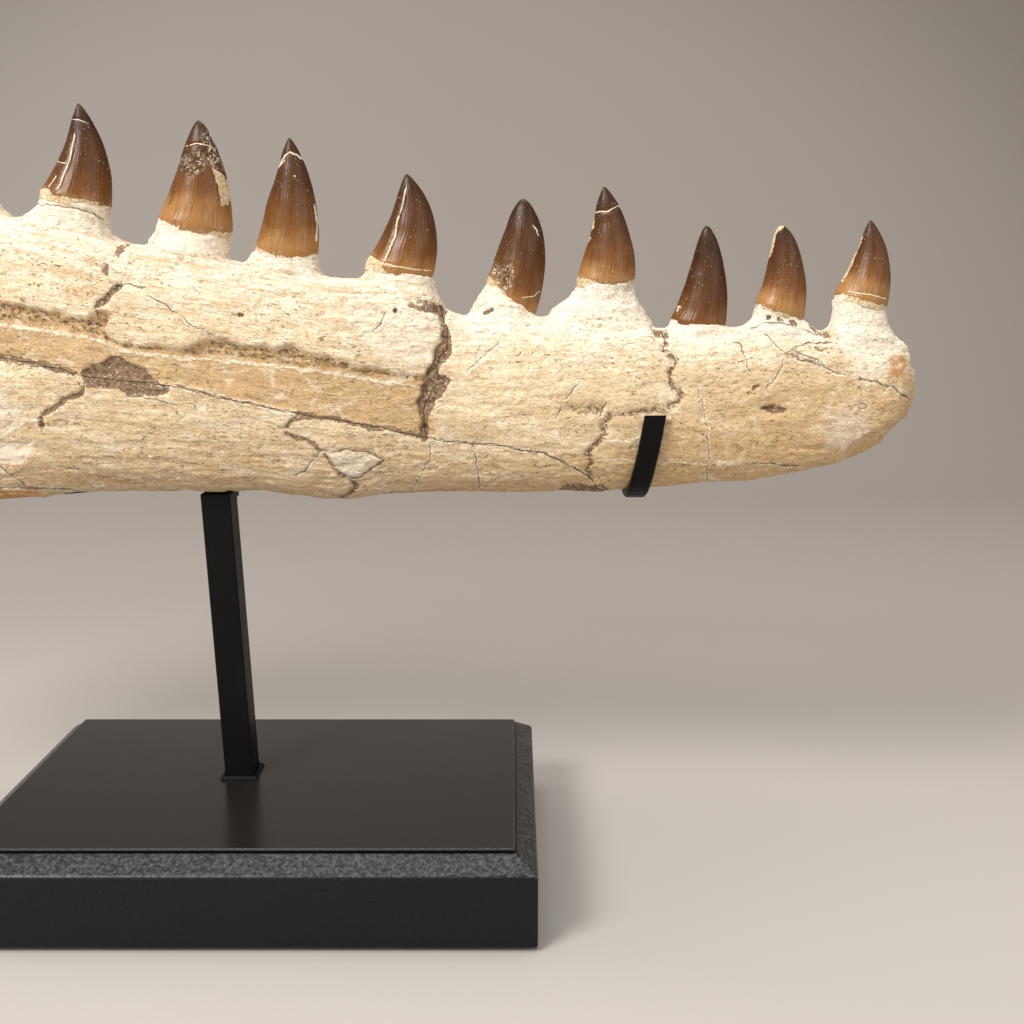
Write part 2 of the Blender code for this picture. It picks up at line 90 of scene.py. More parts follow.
def lattice_noise(places: np.ndarray, seed: int) -> np.ndarray:
    """Smooth noise between -1 and 1 over a lattice of unit cells.

    Args:
        places: An (n, 3) array of places, in cells.
        seed: Picks one noise out of many.

    Returns:
        One number for each place.
    """
    cell = np.floor(places)
    part = places - cell
    ease = part * part * part * (part * (part * 6.0 - 15.0) + 10.0)
    cell = cell.astype(np.int64)
    total = np.zeros(len(places))
    for corner in range(8):
        step = np.array([corner & 1, corner >> 1 & 1, corner >> 2 & 1])
        at = (cell + step) * np.array([73856093, 19349663, 83492791])
        mixed = (at[:, 0] ^ at[:, 1] ^ at[:, 2] ^ (seed * 2654435761)) & 0xFFFFFFFF
        mixed = (mixed ^ (mixed >> 15)) * 2246822519 & 0xFFFFFFFF
        mixed = (mixed ^ (mixed >> 13)) * 3266489917 & 0xFFFFFFFF
        level = ((mixed ^ (mixed >> 16)) & 0xFFFF) / 32767.5 - 1.0
        share = np.where(step == 1, ease, 1.0 - ease).prod(axis=1)
        total += level * share
    return total


def layered_noise(points: np.ndarray, size: Triple, seed: int, layers: int = 3) -> np.ndarray:
    """Noise of several layers, each half the size and half the strength of the one before.

    Args:
        points: An (n, 3) array in millimetres.
        size: How long a blotch is along X, Y and Z.
        seed: Picks one noise out of many.
        layers: How many layers there are.

    Returns:
        Numbers of about -1 to 1.
    """
    places = points / np.array(size)
    total = np.zeros(len(points))
    for layer in range(layers):
        total += lattice_noise(places * 2.0**layer + 17.3 * layer, seed + layer) * 0.5**layer
    return total


def line_distance(places: np.ndarray, line: np.ndarray) -> tuple[np.ndarray, np.ndarray]:
    """How far places lie from an open line, with a sign for its two sides.

    Args:
        places: An (n, 2) array.
        line: An (m, 2) array of the line's points.

    Returns:
        The signed distances, and how far along the line the nearest point is, from 0 to 1.
    """
    start, run = line[:-1], np.diff(line, axis=0)
    length = np.linalg.norm(run, axis=1)
    before = np.concatenate([[0.0], np.cumsum(length)])
    away = places[:, None, :] - start[None]
    share = np.clip((away * run).sum(axis=2) / length**2, 0.0, 1.0)
    offset = away - share[:, :, None] * run
    distance = np.linalg.norm(offset, axis=2)
    nearest = distance.argmin(axis=1)
    row = np.arange(len(places))
    side = run[nearest, 0] * away[row, nearest, 1] - run[nearest, 1] * away[row, nearest, 0]
    along = (before[nearest] + share[row, nearest] * length[nearest]) / before[-1]
    return np.where(side < 0, -1.0, 1.0) * distance[row, nearest], along


def outline_distance(places: np.ndarray, outline: np.ndarray) -> np.ndarray:
    """How far places lie from a closed outline, negative inside it.

    Args:
        places: An (n, 2) array.
        outline: An (m, 2) array of corners.

    Returns:
        The signed distances.
    """
    closed = np.vstack([outline, outline[:1]])
    distance = np.abs(line_distance(places, closed)[0])
    inside = np.zeros(len(places), bool)
    for (ax, az), (bx, bz) in zip(closed[:-1], closed[1:]):
        if az == bz:
            continue
        spans = (az > places[:, 1]) != (bz > places[:, 1])
        inside ^= spans & (places[:, 0] < (bx - ax) * (places[:, 1] - az) / (bz - az) + ax)
    return np.where(inside, -distance, distance)


def near_box(places: np.ndarray, points: np.ndarray, margin: float) -> np.ndarray:
    """Which places lie in the box round some points, widened by a margin."""
    low, high = points.min(axis=0) - margin, points.max(axis=0) + margin
    return ((places > low) & (places < high)).all(axis=1)


def make_mesh_object(name: str, points: np.ndarray, faces: np.ndarray) -> bpy.types.Object:
    """A mesh object from arrays.

    Args:
        name: The object's name.
        points: An (n, 3) array in millimetres.
        faces: An (m, 3) or (m, 4) array of point numbers.

    Returns:
        The new object, linked to the scene.
    """
    mesh = bpy.data.meshes.new(name)
    count, sides = faces.shape
    mesh.vertices.add(len(points))
    mesh.vertices.foreach_set("co", (points * MM).astype(np.float32).ravel())
    mesh.loops.add(count * sides)
    mesh.loops.foreach_set("vertex_index", faces.astype(np.int32).ravel())
    mesh.polygons.add(count)
    mesh.polygons.foreach_set("loop_start", np.arange(0, count * sides, sides, dtype=np.int32))
    mesh.update(calc_edges=True)
    mesh.validate()
    obj = bpy.data.objects.new(name, mesh)
    bpy.context.scene.collection.objects.link(obj)
    return obj


def mesh_points(obj: bpy.types.Object) -> np.ndarray:
    """The object's points as an (n, 3) array in millimetres."""
    flat = np.empty(len(obj.data.vertices) * 3, np.float32)
    obj.data.vertices.foreach_get("co", flat)
    return flat.reshape(-1, 3).astype(float) / MM


def mesh_normals(obj: bpy.types.Object) -> np.ndarray:
    """The object's point normals as an (n, 3) array."""
    flat = np.empty(len(obj.data.vertices) * 3, np.float32)
    obj.data.vertex_normals.foreach_get("vector", flat)
    return flat.reshape(-1, 3).astype(float)


def set_points(obj: bpy.types.Object, points: np.ndarray) -> None:
    """Moves the object's points to an array in millimetres."""
    obj.data.vertices.foreach_set("co", (points * MM).astype(np.float32).ravel())
    obj.data.update()


def set_values(obj: bpy.types.Object, name: str, values: np.ndarray) -> None:
    """Stores one number, or one vector, for each point of the object.

    Args:
        obj: The object.
        name: The attribute's name, which a material reads.
        values: An (n,) or (n, 3) array.
    """
    vector = values.ndim == 2
    layer = obj.data.attributes.new(name, "FLOAT_VECTOR" if vector else "FLOAT", "POINT")
    layer.data.foreach_set("vector" if vector else "value", values.astype(np.float32).ravel())


def apply_modifiers(obj: bpy.types.Object) -> None:
    """Gives the object the mesh that its modifiers make."""
    graph = bpy.context.evaluated_depsgraph_get()
    made = bpy.data.meshes.new_from_object(obj.evaluated_get(graph))
    obj.modifiers.clear()
    obj.data = made


def combine(obj: bpy.types.Object, other: bpy.types.Object, operation: str) -> None:
    """Joins, cuts or intersects a closed object with another one."""
    modifier = obj.modifiers.new("Combine", "BOOLEAN")
    modifier.operation = operation
    modifier.solver = "MANIFOLD"
    modifier.object = other
    apply_modifiers(obj)


def loft(rings: np.ndarray) -> tuple[np.ndarray, np.ndarray]:
    """A closed skin of triangles over rings, with a fan at each end.

    Args:
        rings: A (rings, points, 3) array.

    Returns:
        The points and the faces, which look outwards where the rings run anticlockwise as seen from
        the last ring.
    """
    count, sides, _ = rings.shape
    points = np.vstack([rings.reshape(-1, 3), rings[0].mean(axis=0), rings[-1].mean(axis=0)])
    ring = np.arange(count - 1)[:, None] * sides
    here, there = np.arange(sides), (np.arange(sides) + 1) % sides
    a, b = (ring + here).ravel(), (ring + there).ravel()
    faces = [np.stack([a, b, b + sides], axis=1), np.stack([a, b + sides, a + sides], axis=1)]
    first, last = count * sides, count * sides + 1
    top = (count - 1) * sides
    faces.append(np.stack([there, here, np.full(sides, first)], axis=1))
    faces.append(np.stack([top + here, top + there, np.full(sides, last)], axis=1))
    return points, np.vstack(faces)


def closed_object(name: str, rings: np.ndarray) -> bpy.types.Object:
    """A closed lofted object whose faces look outwards.

    Args:
        name: The object's name.
        rings: A (rings, points, 3) array in millimetres.

    Returns:
        The new object.
    """
    points, faces = loft(rings)
    corners = points[faces]
    volume = np.einsum("ij,ij->i", corners[:, 0], np.cross(corners[:, 1], corners[:, 2])).sum()
    return make_mesh_object(name, points, faces if volume > 0 else faces[:, ::-1])


def oval_ring(centre: np.ndarray, half: np.ndarray, y: float, width: float, sides: int,
              power: float) -> np.ndarray:
    """A ring round an axis that points up.

    Args:
        centre: The middle, in X and Z.
        half: The long half, in X and Z.
        y: The middle's Y.
        width: The half width in Y.
        sides: How many points the ring has.
        power: 2 for an oval, less for one with keels in front and behind.

    Returns:
        A (sides, 3) array.
    """
    angle = np.linspace(0.0, 2.0 * math.pi, sides, endpoint=False)
    long_part = np.sign(np.cos(angle)) * np.abs(np.cos(angle)) ** (2.0 / power)
    side_part = np.sign(np.sin(angle)) * np.abs(np.sin(angle)) ** (2.0 / power)
    return np.stack([centre[0] + half[0] * long_part, y + width * side_part,
                     centre[1] + half[1] * long_part], axis=1)


@dataclass(frozen=True, eq=False)
class Socket:
    """What a node gives, which adds, subtracts, multiplies and divides as a number does."""

    bench: "Bench"
    source: bpy.types.NodeSocket

    def __add__(self, other: Any) -> "Socket":
        """The sum of both."""
        return self.bench.math("ADD", self, other)

    def __sub__(self, other: Any) -> "Socket":
        """This less the other."""
        return self.bench.math("SUBTRACT", self, other)

    def __rsub__(self, other: Any) -> "Socket":
        """The other less this."""
        return self.bench.math("SUBTRACT", other, self)

    def __mul__(self, other: Any) -> "Socket":
        """The product of both."""
        return self.bench.math("MULTIPLY", self, other)

    def __truediv__(self, other: Any) -> "Socket":
        """This divided by the other."""
        return self.bench.math("DIVIDE", self, other)

    def __abs__(self) -> "Socket":
        """This without its sign."""
        return self.bench.math("ABSOLUTE", self)

    __radd__ = __add__
    __rmul__ = __mul__


class Bench:
    """Adds and joins the nodes of one material."""

    def __init__(self, name: str) -> None:
        """Starts a material that holds one surface shader."""
        self.material = bpy.data.materials.new(name)
        self.material.use_nodes = True
        self.tree = self.material.node_tree
        self.shader = self.tree.nodes["Principled BSDF"]

    def put(self, target: bpy.types.NodeSocket, value: Any) -> None:
        """Joins an input to what another node gives, or sets its value."""
        if isinstance(value, Socket):
            self.tree.links.new(value.source, target)
        elif isinstance(value, tuple) and len(value) == 3 and target.type == "RGBA":
            target.default_value = (*value, 1.0)
        else:
            target.default_value = value

    def add(self, kind: str, inputs: dict[Any, Any], output: Any = 0, **settings: Any) -> Socket:
        """Adds a node.

        Args:
            kind: Blender's name of the node's type.
            inputs: Values or sockets for its inputs, by name or number.
            output: The name or number of the output that is wanted.
            settings: The node's own properties.

        Returns:
            The output.
        """
        node = self.tree.nodes.new(kind)
        for name, value in settings.items():
            setattr(node, name, value)
        for key, value in inputs.items():
            self.put(node.inputs[key], value)
        return Socket(self, node.outputs[output])

    def own_place(self) -> Socket:
        """A point's place in its own object."""
        return self.add("ShaderNodeTexCoord", {}, "Object")

    def part(self, vector: Socket, axis: int) -> Socket:
        """One of the three numbers of a vector."""
        return self.add("ShaderNodeSeparateXYZ", {0: vector}, axis)

    def attribute(self, name: str, vector: bool = False) -> Socket:
        """A number or vector stored on the mesh's points."""
        return self.add("ShaderNodeAttribute", {}, "Vector" if vector else "Fac", attribute_name=name,
                        attribute_type="GEOMETRY")

    def math(self, operation: str, first: Any, second: Any = 0.0, clamp: bool = False) -> Socket:
        """One step of arithmetic on numbers."""
        return self.add("ShaderNodeMath", {0: first, 1: second}, operation=operation, use_clamp=clamp)

    def step(self, value: Any, low: Any, high: Any) -> Socket:
        """Eases from 0 at low to 1 at high, which may be under low."""
        return self.add("ShaderNodeMapRange", {"Value": value, "From Min": low, "From Max": high},
                        "Result", interpolation_type="SMOOTHSTEP")

    def mix(self, share: Any, first: Any, second: Any) -> Socket:
        """A mix of two colours."""
        return self.add("ShaderNodeMix", {0: share, 6: first, 7: second}, 2, data_type="RGBA")

    def noise(self, place: Socket, size: Triple, shift: float = 0.0, detail: float = 2.0,
              roughness: float = 0.5, distortion: float = 0.0) -> Socket:
        """Noise of about 0 to 1.

        Args:
            place: The places.
            size: The size of a blotch on each axis, in the places' own unit.
            shift: Moves the noise, so that two of one size differ.
            detail: How many finer layers it has.
            roughness: How strong the finer layers are.
            distortion: How far the blotches are swirled.

        Returns:
            The noise.
        """
        vector = self.add("ShaderNodeMapping", {"Vector": place, "Scale": tuple(1.0 / s for s in size),
                                                "Location": (shift, shift * 0.7, shift * 1.3)}, "Vector")
        return self.add("ShaderNodeTexNoise", {"Vector": vector, "Scale": 1.0, "Detail": detail,
                                               "Roughness": roughness, "Distortion": distortion}, "Fac")

    def bump(self, height: Socket, distance: float, normal: Socket | None = None) -> Socket:
        """Relief whose full height is a distance in metres, on top of another one's if it is given."""
        inputs = {"Height": height, "Distance": distance, "Strength": 1.0}
        if normal is not None:
            inputs["Normal"] = normal
        return self.add("ShaderNodeBump", inputs, "Normal")

    def finish(self, **inputs: Any) -> bpy.types.Material:
        """Sets the surface shader's inputs, written with _ for a space, and returns the material."""
        for name, value in inputs.items():
            self.put(self.shader.inputs[name.replace("_", " ")], value)
        return self.material


@dataclass(frozen=True)
class FossilBone:
    """Old bone: cream and pale above, tan below, partly its own tone and partly painted top light and
    painted shade below, with fibres and pores along it and grey-brown rock in its gaps.
    """

    cream: Colour = (0.87, 0.735, 0.515)
    pale: Colour = (0.94, 0.85, 0.69)
    tan: Colour = (0.60, 0.405, 0.205)
    pore: Colour = (0.23, 0.12, 0.045)
    rust: Colour = (0.52, 0.23, 0.07)
    rock: Colour = (0.235, 0.150, 0.088)
    rock_light: Colour = (0.39, 0.275, 0.175)
    rock_dark: Colour = (0.135, 0.080, 0.044)
    plaster: Colour = (0.84, 0.74, 0.60)
    chalk_and_top_light: Colour = (0.90, 0.82, 0.69)
    crack: Colour = (0.24, 0.135, 0.06)
    grain_full: float = 50.0
    grain_ends: float = 150.0
    fibre_relief: float = 0.0005
    chip_relief: float = 0.0002
    pore_relief: float = 0.00045
    rock_relief: float = 0.0008

    def surface_colour(self, b: Bench, place: Socket) -> tuple[Socket, Socket, Socket]:
        """The bone itself, without what lies in its gaps.

        Args:
            b: The bench of the material.
            place: Places measured along the fibres.

        Returns:
            The colour, the relief of the fibres and chips, and the pores.
        """
        height = b.attribute("height")
        broad = b.noise(place, (38.0, 30.0, 14.0), 0.0, 4.0, 0.6)
        # Painted shade: the recessed band under the ledge is darkened towards tan; the front of the jaw is
        # darker too.
        level = height + (broad - 0.5) * 1.1 - b.attribute("band_shade_and_front_darkening")
        woody = 0.35 + b.step(b.part(place, 0), self.grain_ends, self.grain_full) * 0.65
        # Painted light: tan towards the bottom and pale towards the top, partly the bone's own tone and
        # partly painted shade below and painted top light above.
        colour = b.mix(b.step(level, 0.76, -0.46), self.cream, self.tan)
        colour = b.mix(b.step(height, 0.72, 1.0), colour, self.pale)
        streaks = b.noise(place, (26.0, 4.0, 1.5), 17.0, 3.0, 0.6, 0.4)
        colour = b.mix(b.step(streaks, 0.52, 0.36) * (woody * 0.6), colour, self.tan)
        fibre = b.noise(place, (6.5, 1.5, 0.75), 3.0, 4.0, 0.7, 0.6)
        colour = b.mix(b.step(fibre, 0.5, 0.36) * (woody * 0.5), colour, self.tan)
        colour = b.mix(b.step(fibre, 0.54, 0.68) * (woody * 0.6), colour, self.pale)
        blotch = b.noise(place, (9.0, 8.0, 6.0), 47.0, 4.0, 0.65, 0.8)
        colour = b.mix(b.step(blotch, 0.54, 0.4) * 0.28, colour, self.tan)
        colour = b.mix(b.step(blotch, 0.54, 0.66) * 0.35, colour, self.pale)
        flaky = b.noise(place, (4.6, 3.0, 2.0), 8.0, 3.0, 0.6, 1.0)
        small = b.noise(place, (1.9, 1.4, 1.0), 27.0, 2.0, 0.65)
        chips = b.step(flaky, 0.485, 0.515) + b.step(small, 0.5, 0.55) * 0.6
        edge = b.step(flaky, 0.47, 0.5) * b.step(flaky, 0.53, 0.5)
        colour = b.mix(edge * 0.22, colour, self.tan)
        warm = b.noise(place, (16.0, 9.0, 7.0), 53.0, 1.0)
        dark = b.mix(b.step(warm, 0.55, 0.63), self.pore, self.rust)

        crowd = b.step(b.noise(place, (24.0, 20.0, 11.0), 31.0, 2.0), 0.34, 0.60)
        pores = b.noise(place, (2.4, 1.1, 0.72), 11.0, 1.5, 0.5)
        specks = b.noise(place, (1.2, 0.8, 0.55), 61.0, 1.0, 0.5)
        wander = b.noise(place, (7.5, 2.4, 1.5), 37.0, 3.0, 0.55, 0.7)
        line = abs(wander - 0.5)
        pits = b.step(pores, 0.65, 0.7) * (crowd * 0.8 + 0.2)
        holes = b.math("MAXIMUM", pits, b.step(specks, 0.7, 0.75) * 0.5)
        holes = b.math("MAXIMUM", holes, b.step(line, 0.012, 0.004) * (crowd * 0.34))
        colour = b.mix(holes * 0.85, colour, dark)
        relief = fibre * woody + flaky * 0.6
        return colour, relief, chips - pits * 1.5

    def lines(self, b: Bench, colour: Socket, place: Socket, fleck: Socket) -> tuple[Socket, Socket]:
        """Draws the cracks with their pale rims, and the pale veins.

        Args:
            b: The bench of the material.
            colour: The colour so far.
            place: Places measured along the fibres.
            fleck: Fine noise that breaks the lines up.

        Returns:
            The colour, and how far each spot belongs to a crack.
        """
        wobble = b.noise(place, (1.7, 1.7, 1.5), 23.0, 2.0, 0.7) - 0.5
        vary = b.step(b.noise(place, (3.6, 3.6, 3.6), 29.0, 2.0), 0.30, 0.62)
        width = b.attribute("crack_width") * (0.35 + vary * 0.85)
        off = abs(b.attribute("crack") + wobble * 1.5)
        present = b.step(b.attribute("crack_width"), 0.02, 0.12)
        line = b.step(off, width + 0.12, width * 0.45) * present
        rim = b.step(off, width + 1.1, width) * present * b.step(fleck, 0.42, 0.58)
        colour = b.mix(rim * 0.75, colour, self.pale)
        colour = b.mix(line * (0.5 + vary * 0.4), colour, self.crack)
        vein_width = b.attribute("vein_width")
        vein_off = abs(b.attribute("vein") + wobble * 1.2)
        vein = b.step(vein_off, vein_width * 1.3, vein_width * 0.4) * b.step(vein_width, 0.02, 0.1)
        vein = vein * b.step(fleck, 0.36, 0.54)
        return b.mix(vein * 0.75, colour, self.pale), line

    def material(self) -> bpy.types.Material:
        """Makes the finish.

        Returns:
            The material, which reads the values that BoneSurface stores on the mesh.
        """
        b = Bench("fossil_bone_finish")
        place = b.attribute("grain", vector=True)
        colour, relief, chips = self.surface_colour(b, place)
        fleck = b.noise(place, (1.5, 1.5, 1.1), 8.0, 3.0, 0.65)

        # Chalky patches, and painted top light: the roots above the margin are painted whitish.
        colour = b.mix(b.attribute("chalk_and_top_light") * b.step(fleck, 0.25, 0.5), colour, self.chalk_and_top_light)
        patchy = b.step(b.noise(place, (3.5, 3.0, 2.4), 71.0, 3.0, 0.7), 0.36, 0.56)
        colour = b.mix(b.attribute("stain") * (patchy * 0.85), colour, self.rust)
        plaster = b.attribute("plaster")
        colour = b.mix(plaster * 0.8, colour, self.plaster)

        crumbs = b.noise(place, (1.8, 1.8, 1.3), 5.0, 3.0, 0.75)
        rock = b.attribute("rock")
        rock = b.step(rock + (crumbs - 0.5) * 1.6, 0.36, 0.58)
        rock_colour = b.mix(b.step(crumbs, 0.54, 0.38), self.rock, self.rock_dark)
        rock_colour = b.mix(b.step(fleck, 0.5, 0.64) * 0.85, rock_colour, self.rock_light)
        bits = b.noise(place, (1.6, 1.6, 0.9), 43.0, 2.0, 0.6)
        rock_colour = b.mix(b.step(bits, 0.62, 0.68) * 0.7, rock_colour, self.cream)
        colour = b.mix(rock, colour, rock_colour)
        colour, line = self.lines(b, colour, place, fleck)

        bone_only = b.math("SUBTRACT", 1.0, b.math("MAXIMUM", rock, plaster), clamp=True)
        gentle = bone_only * 0.85 + 0.15
        normal = b.bump(relief * gentle, self.fibre_relief)
        normal = b.bump(chips * gentle, self.chip_relief, normal)
        normal = b.bump(1.0 - line, self.pore_relief, normal)
        normal = b.bump((crumbs + fleck * 0.5) * rock, self.rock_relief, normal)
        rough = 0.62 + fleck * 0.25
        return b.finish(Base_Color=colour, Roughness=rough, Normal=normal, Specular_IOR_Level=0.3)


@dataclass(frozen=True)
class ToothEnamel:
    """Glossy enamel, dark chocolate at the tip and amber at the base, over cream dentine."""

    tip: Colour = (0.040, 0.015, 0.005)
    dark: Colour = (0.078, 0.027, 0.006)
    amber: Colour = (0.185, 0.073, 0.018)
    honey: Colour = (0.37, 0.185, 0.06)
    cream: Colour = (0.84, 0.72, 0.52)
    crust: Colour = (0.60, 0.40, 0.19)
    grime: Colour = (0.24, 0.14, 0.07)
    coat: float = 0.08
    stripe_relief: float = 0.00016
    crust_relief: float = 0.0008
    shard_relief: float = 0.0012

    def material(self) -> bpy.types.Material:
        """Makes the finish.

        Returns:
            The material, which reads the values that Crown stores on the mesh.
        """
        b = Bench("tooth_enamel_finish")
        place = b.attribute("grain", vector=True)
        level = b.attribute("level")
        darkness = b.attribute("darkness")
        cloud = b.noise(place, (7.0, 7.0, 11.0), 0.0, 3.0, 0.55)
        level = level + (cloud - 0.5) * 0.35 + darkness
        colour = b.mix(b.step(level, 0.00, 0.24), self.honey, self.amber)
        colour = b.mix(b.step(level, 0.12, 0.62), colour, self.dark)
        colour = b.mix(b.step(level, 0.62, 0.98), colour, self.tip)

        stripes = b.noise(b.attribute("stripes", vector=True), (1.0, 14.0, 1.0), 0.0, 3.0, 0.6)
        colour = b.mix(b.step(stripes, 0.52, 0.7) * 0.35, colour, self.amber)
        colour = b.mix(b.step(stripes, 0.48, 0.3) * 0.45, colour, self.tip)
        flecks = b.noise(place, (0.55, 0.55, 0.8), 41.0, 1.0)
        colour = b.mix(b.step(flecks, 0.71, 0.77) * 0.6, colour, self.cream)

        bare = b.attribute("bare")
        ragged = b.noise(place, (1.3, 1.3, 1.0), 13.0, 4.0, 0.7, 0.5)
        bare = b.step(bare + (ragged - 0.5) * 0.5, 0.42, 0.58)
        crust = b.mix(b.step(ragged, 0.40, 0.62), self.crust, self.cream)
        crust = b.mix(b.step(ragged, 0.4, 0.3) * 0.8, crust, self.grime)
        colour = b.mix(bare, colour, crust)
        width = b.attribute("crack_width")
        scuffs = b.noise(place, (2.0, 2.0, 5.0), 19.0, 4.0, 0.7)
        wobble = (ragged - 0.5) * 0.7
        off = abs(b.attribute("crack") + wobble)
        line = b.step(off, width, width * 0.4) * b.step(width, 0.02, 0.1)
        line = line * b.step(scuffs, 0.3, 0.46)
        colour = b.mix(line * 0.9, colour, self.cream)
        broken = b.attribute("broken")
        shards = b.noise(place, (1.5, 1.5, 1.5), 4.0, 5.0, 0.75, 1.5)
        colour = b.mix(broken * b.step(shards, 0.5, 0.6), colour, self.cream)

        worn = b.math("MAXIMUM", b.math("MAXIMUM", bare, line), broken * 0.5)
        normal = b.bump(stripes, self.stripe_relief)
        normal = b.bump(ragged * bare, self.crust_relief, normal)
        normal = b.bump(shards * broken, self.shard_relief, normal)
        rough = worn * 0.42 + (0.16 + scuffs * 0.3)
        return b.finish(Base_Color=colour, Roughness=rough, Normal=normal, Specular_IOR_Level=0.24,
                        Coat_Weight=b.math("SUBTRACT", 1.0, worn, clamp=True) * self.coat,
                        Coat_Roughness=0.16)


@dataclass(frozen=True)
class BlackLacquer:
    """Black satin lacquer over wood, with a fine speckle, and a painted sheen on the bevel: its sloping
    faces are painted paler where they would catch more light.
    """

    colour: Colour = (0.0040, 0.0038, 0.0036)
    dust_and_sheen: Colour = (0.085, 0.084, 0.088)
    roughness: float = 0.34
    shine: float = 0.26
    speckle: float = 0.00005
    bevel_grain: float = 0.00016

    def material(self, name: str) -> bpy.types.Material:
        """Makes the finish.

        Args:
            name: The material's name.

        Returns:
            The material.
        """
        b = Bench(name)
        place = b.own_place()
        fine = b.noise(place, (0.0007, 0.0007, 0.0007), 0.0, 2.0, 0.6)
        brushed = b.noise(place, (0.030, 0.004, 0.004), 5.0, 4.0, 0.65)
        colour = b.mix(b.step(fine, 0.58, 0.74) * 0.1, self.colour, self.dust_and_sheen)
        rough = self.roughness + (brushed - 0.5) * 0.14
        normal = b.bump(fine, self.speckle)
        # Painted sheen: the bevel's sloping faces are painted paler, broken up by the grain.
        upward = b.part(b.add("ShaderNodeNewGeometry", {}, "Normal"), 2)
        slope = b.step(upward, 0.3, 0.6) * b.step(upward, 0.97, 0.9)
        grain = b.noise(place, (0.0016, 0.0016, 0.0012), 9.0, 3.0, 0.7)
        colour = b.mix(slope * b.step(grain, 0.35, 0.75), colour, self.dust_and_sheen)
        normal = b.bump(grain * slope, self.bevel_grain, normal)
        return b.finish(Base_Color=colour, Roughness=rough, Normal=normal, Specular_IOR_Level=self.shine)


@dataclass(frozen=True)
class BlackSteel:
    """Steel bar in matt black paint, a little paler where it is rubbed."""

    colour: Colour = (0.0032, 0.0032, 0.0032)
    rubbed: Colour = (0.0060, 0.0058, 0.0056)
    roughness: float = 0.34
    orange_peel: float = 0.00006

    def material(self) -> bpy.types.Material:
        """Makes the finish.

        Returns:
            The material.
        """
        b = Bench("black_steel_finish")
        place = b.own_place()
        peel = b.noise(place, (0.0011, 0.0011, 0.0014), 0.0, 2.0, 0.55)
        wear = b.noise(place, (0.009, 0.009, 0.03), 7.0, 4.0, 0.65)
        colour = b.mix(b.step(wear, 0.52, 0.75), self.colour, self.rubbed)
        rough = self.roughness + wear * 0.16
        return b.finish(Base_Color=colour, Roughness=rough, Normal=b.bump(peel, self.orange_peel),
                        Specular_IOR_Level=0.10)


@dataclass(frozen=True)
class BaseFelt:
    """Black felt under the base."""

    colour: Colour = (0.022, 0.021, 0.020)
    lint: Colour = (0.07, 0.065, 0.06)
    pile: float = 0.0004

    def material(self) -> bpy.types.Material:
        """Makes the finish.

        Returns:
            The material.
        """
        b = Bench("felt_finish")
        place = b.own_place()
        hairs = b.noise(place, (0.0012, 0.0012, 0.0012), 0.0, 5.0, 0.75, 1.2)
        colour = b.mix(b.step(hairs, 0.45, 0.75), self.colour, self.lint)
        return b.finish(Base_Color=colour, Roughness=0.96, Normal=b.bump(hairs, self.pile),
                        Specular_IOR_Level=0.2)


@dataclass(frozen=True)
class StudioPaper:
    """The pale warm paper that the part stands on, with painted light falloff: darker up the wall behind and
    to the right, and painted shade towards its corners.
    """

    near: Colour = (0.485, 0.460, 0.438)
    far: Colour = (0.340, 0.308, 0.281)
    near_y: float = -0.16
    far_y: float = 0.48
    rightward_shade: float = 0.32
    middle: Point = (-0.05, 0.25)
    spread: Point = (1.0, 0.62)
    corner_shade: float = 0.30

    def material(self) -> bpy.types.Material:
        """Makes the finish.

        Returns:
            The material.
        """
        b = Bench("studio_paper")
        place = b.own_place()
        x, y, z = (b.part(place, axis) for axis in range(3))
        mottle = b.noise(place, (0.12, 0.12, 0.12), 0.0, 1.0, 0.5)
        # Painted light falloff: the colour darkens from the near floor to the wall behind, and towards the
        # right.
        share = b.step(y, self.near_y, self.far_y) + (mottle - 0.5) * 0.05
        share = b.math("ADD", share, x * self.rightward_shade, clamp=True)
        colour = b.mix(share, self.near, self.far)
        # Painted shade towards the corners of the wall.
        across = (x - self.middle[0]) / self.spread[0]
        up = (z - self.middle[1]) / self.spread[1]
        away = b.math("SQRT", across * across + up * up)
        corner = b.step(away, 0.75, 1.55) * self.corner_shade
        colour = b.mix(corner * b.step(y, 0.5, 1.0), colour, (0.0, 0.0, 0.0))
        return b.finish(Base_Color=colour, Roughness=0.9, Specular_IOR_Level=0.2)


class Fill(Enum):
    """What a patch of the bone's surface is."""

    ROCK = "rock"
    PLASTER = "plaster"
    STAIN = "stain"
    CHALK = "chalk_and_top_light"
    BONE = "bone"


@dataclass(frozen=True)
class Crack:
    """A line on the inner face, in X and Z: a crack, or a pale vein where depth is under 0.

    rock is how far grey-brown rock fills it.
    """

    line: Line
    width: float = 0.7
    depth: float = 0.6
    rock: float = 0.0


@dataclass(frozen=True)
class Patch:
    """An outlined patch on the inner face, in X and Z, set back by a depth."""

    fill: Fill
    outline: Line
    depth: float = 1.0
    soft: float = 0.8
    strength: float = 1.0
    crumble: float = 0.0


@dataclass(frozen=True)
class Hollow:
    """A rounded hollow in the bone: its middle in X and Z, its half sizes, its depth and its slope."""

    middle: Point
    half: Point
    depth: float
    slope: float = 0.0
    rock: float = 0.0
    far_side: bool = False


@dataclass(frozen=True)
class Profile:
    """A value that changes along the jaw, from a few points of X and value."""

    points: Line

    def at(self, x: Any) -> Any:
        """The value at one X or at many."""
        return np.interp(x, [p[0] for p in self.points], [p[1] for p in self.points])


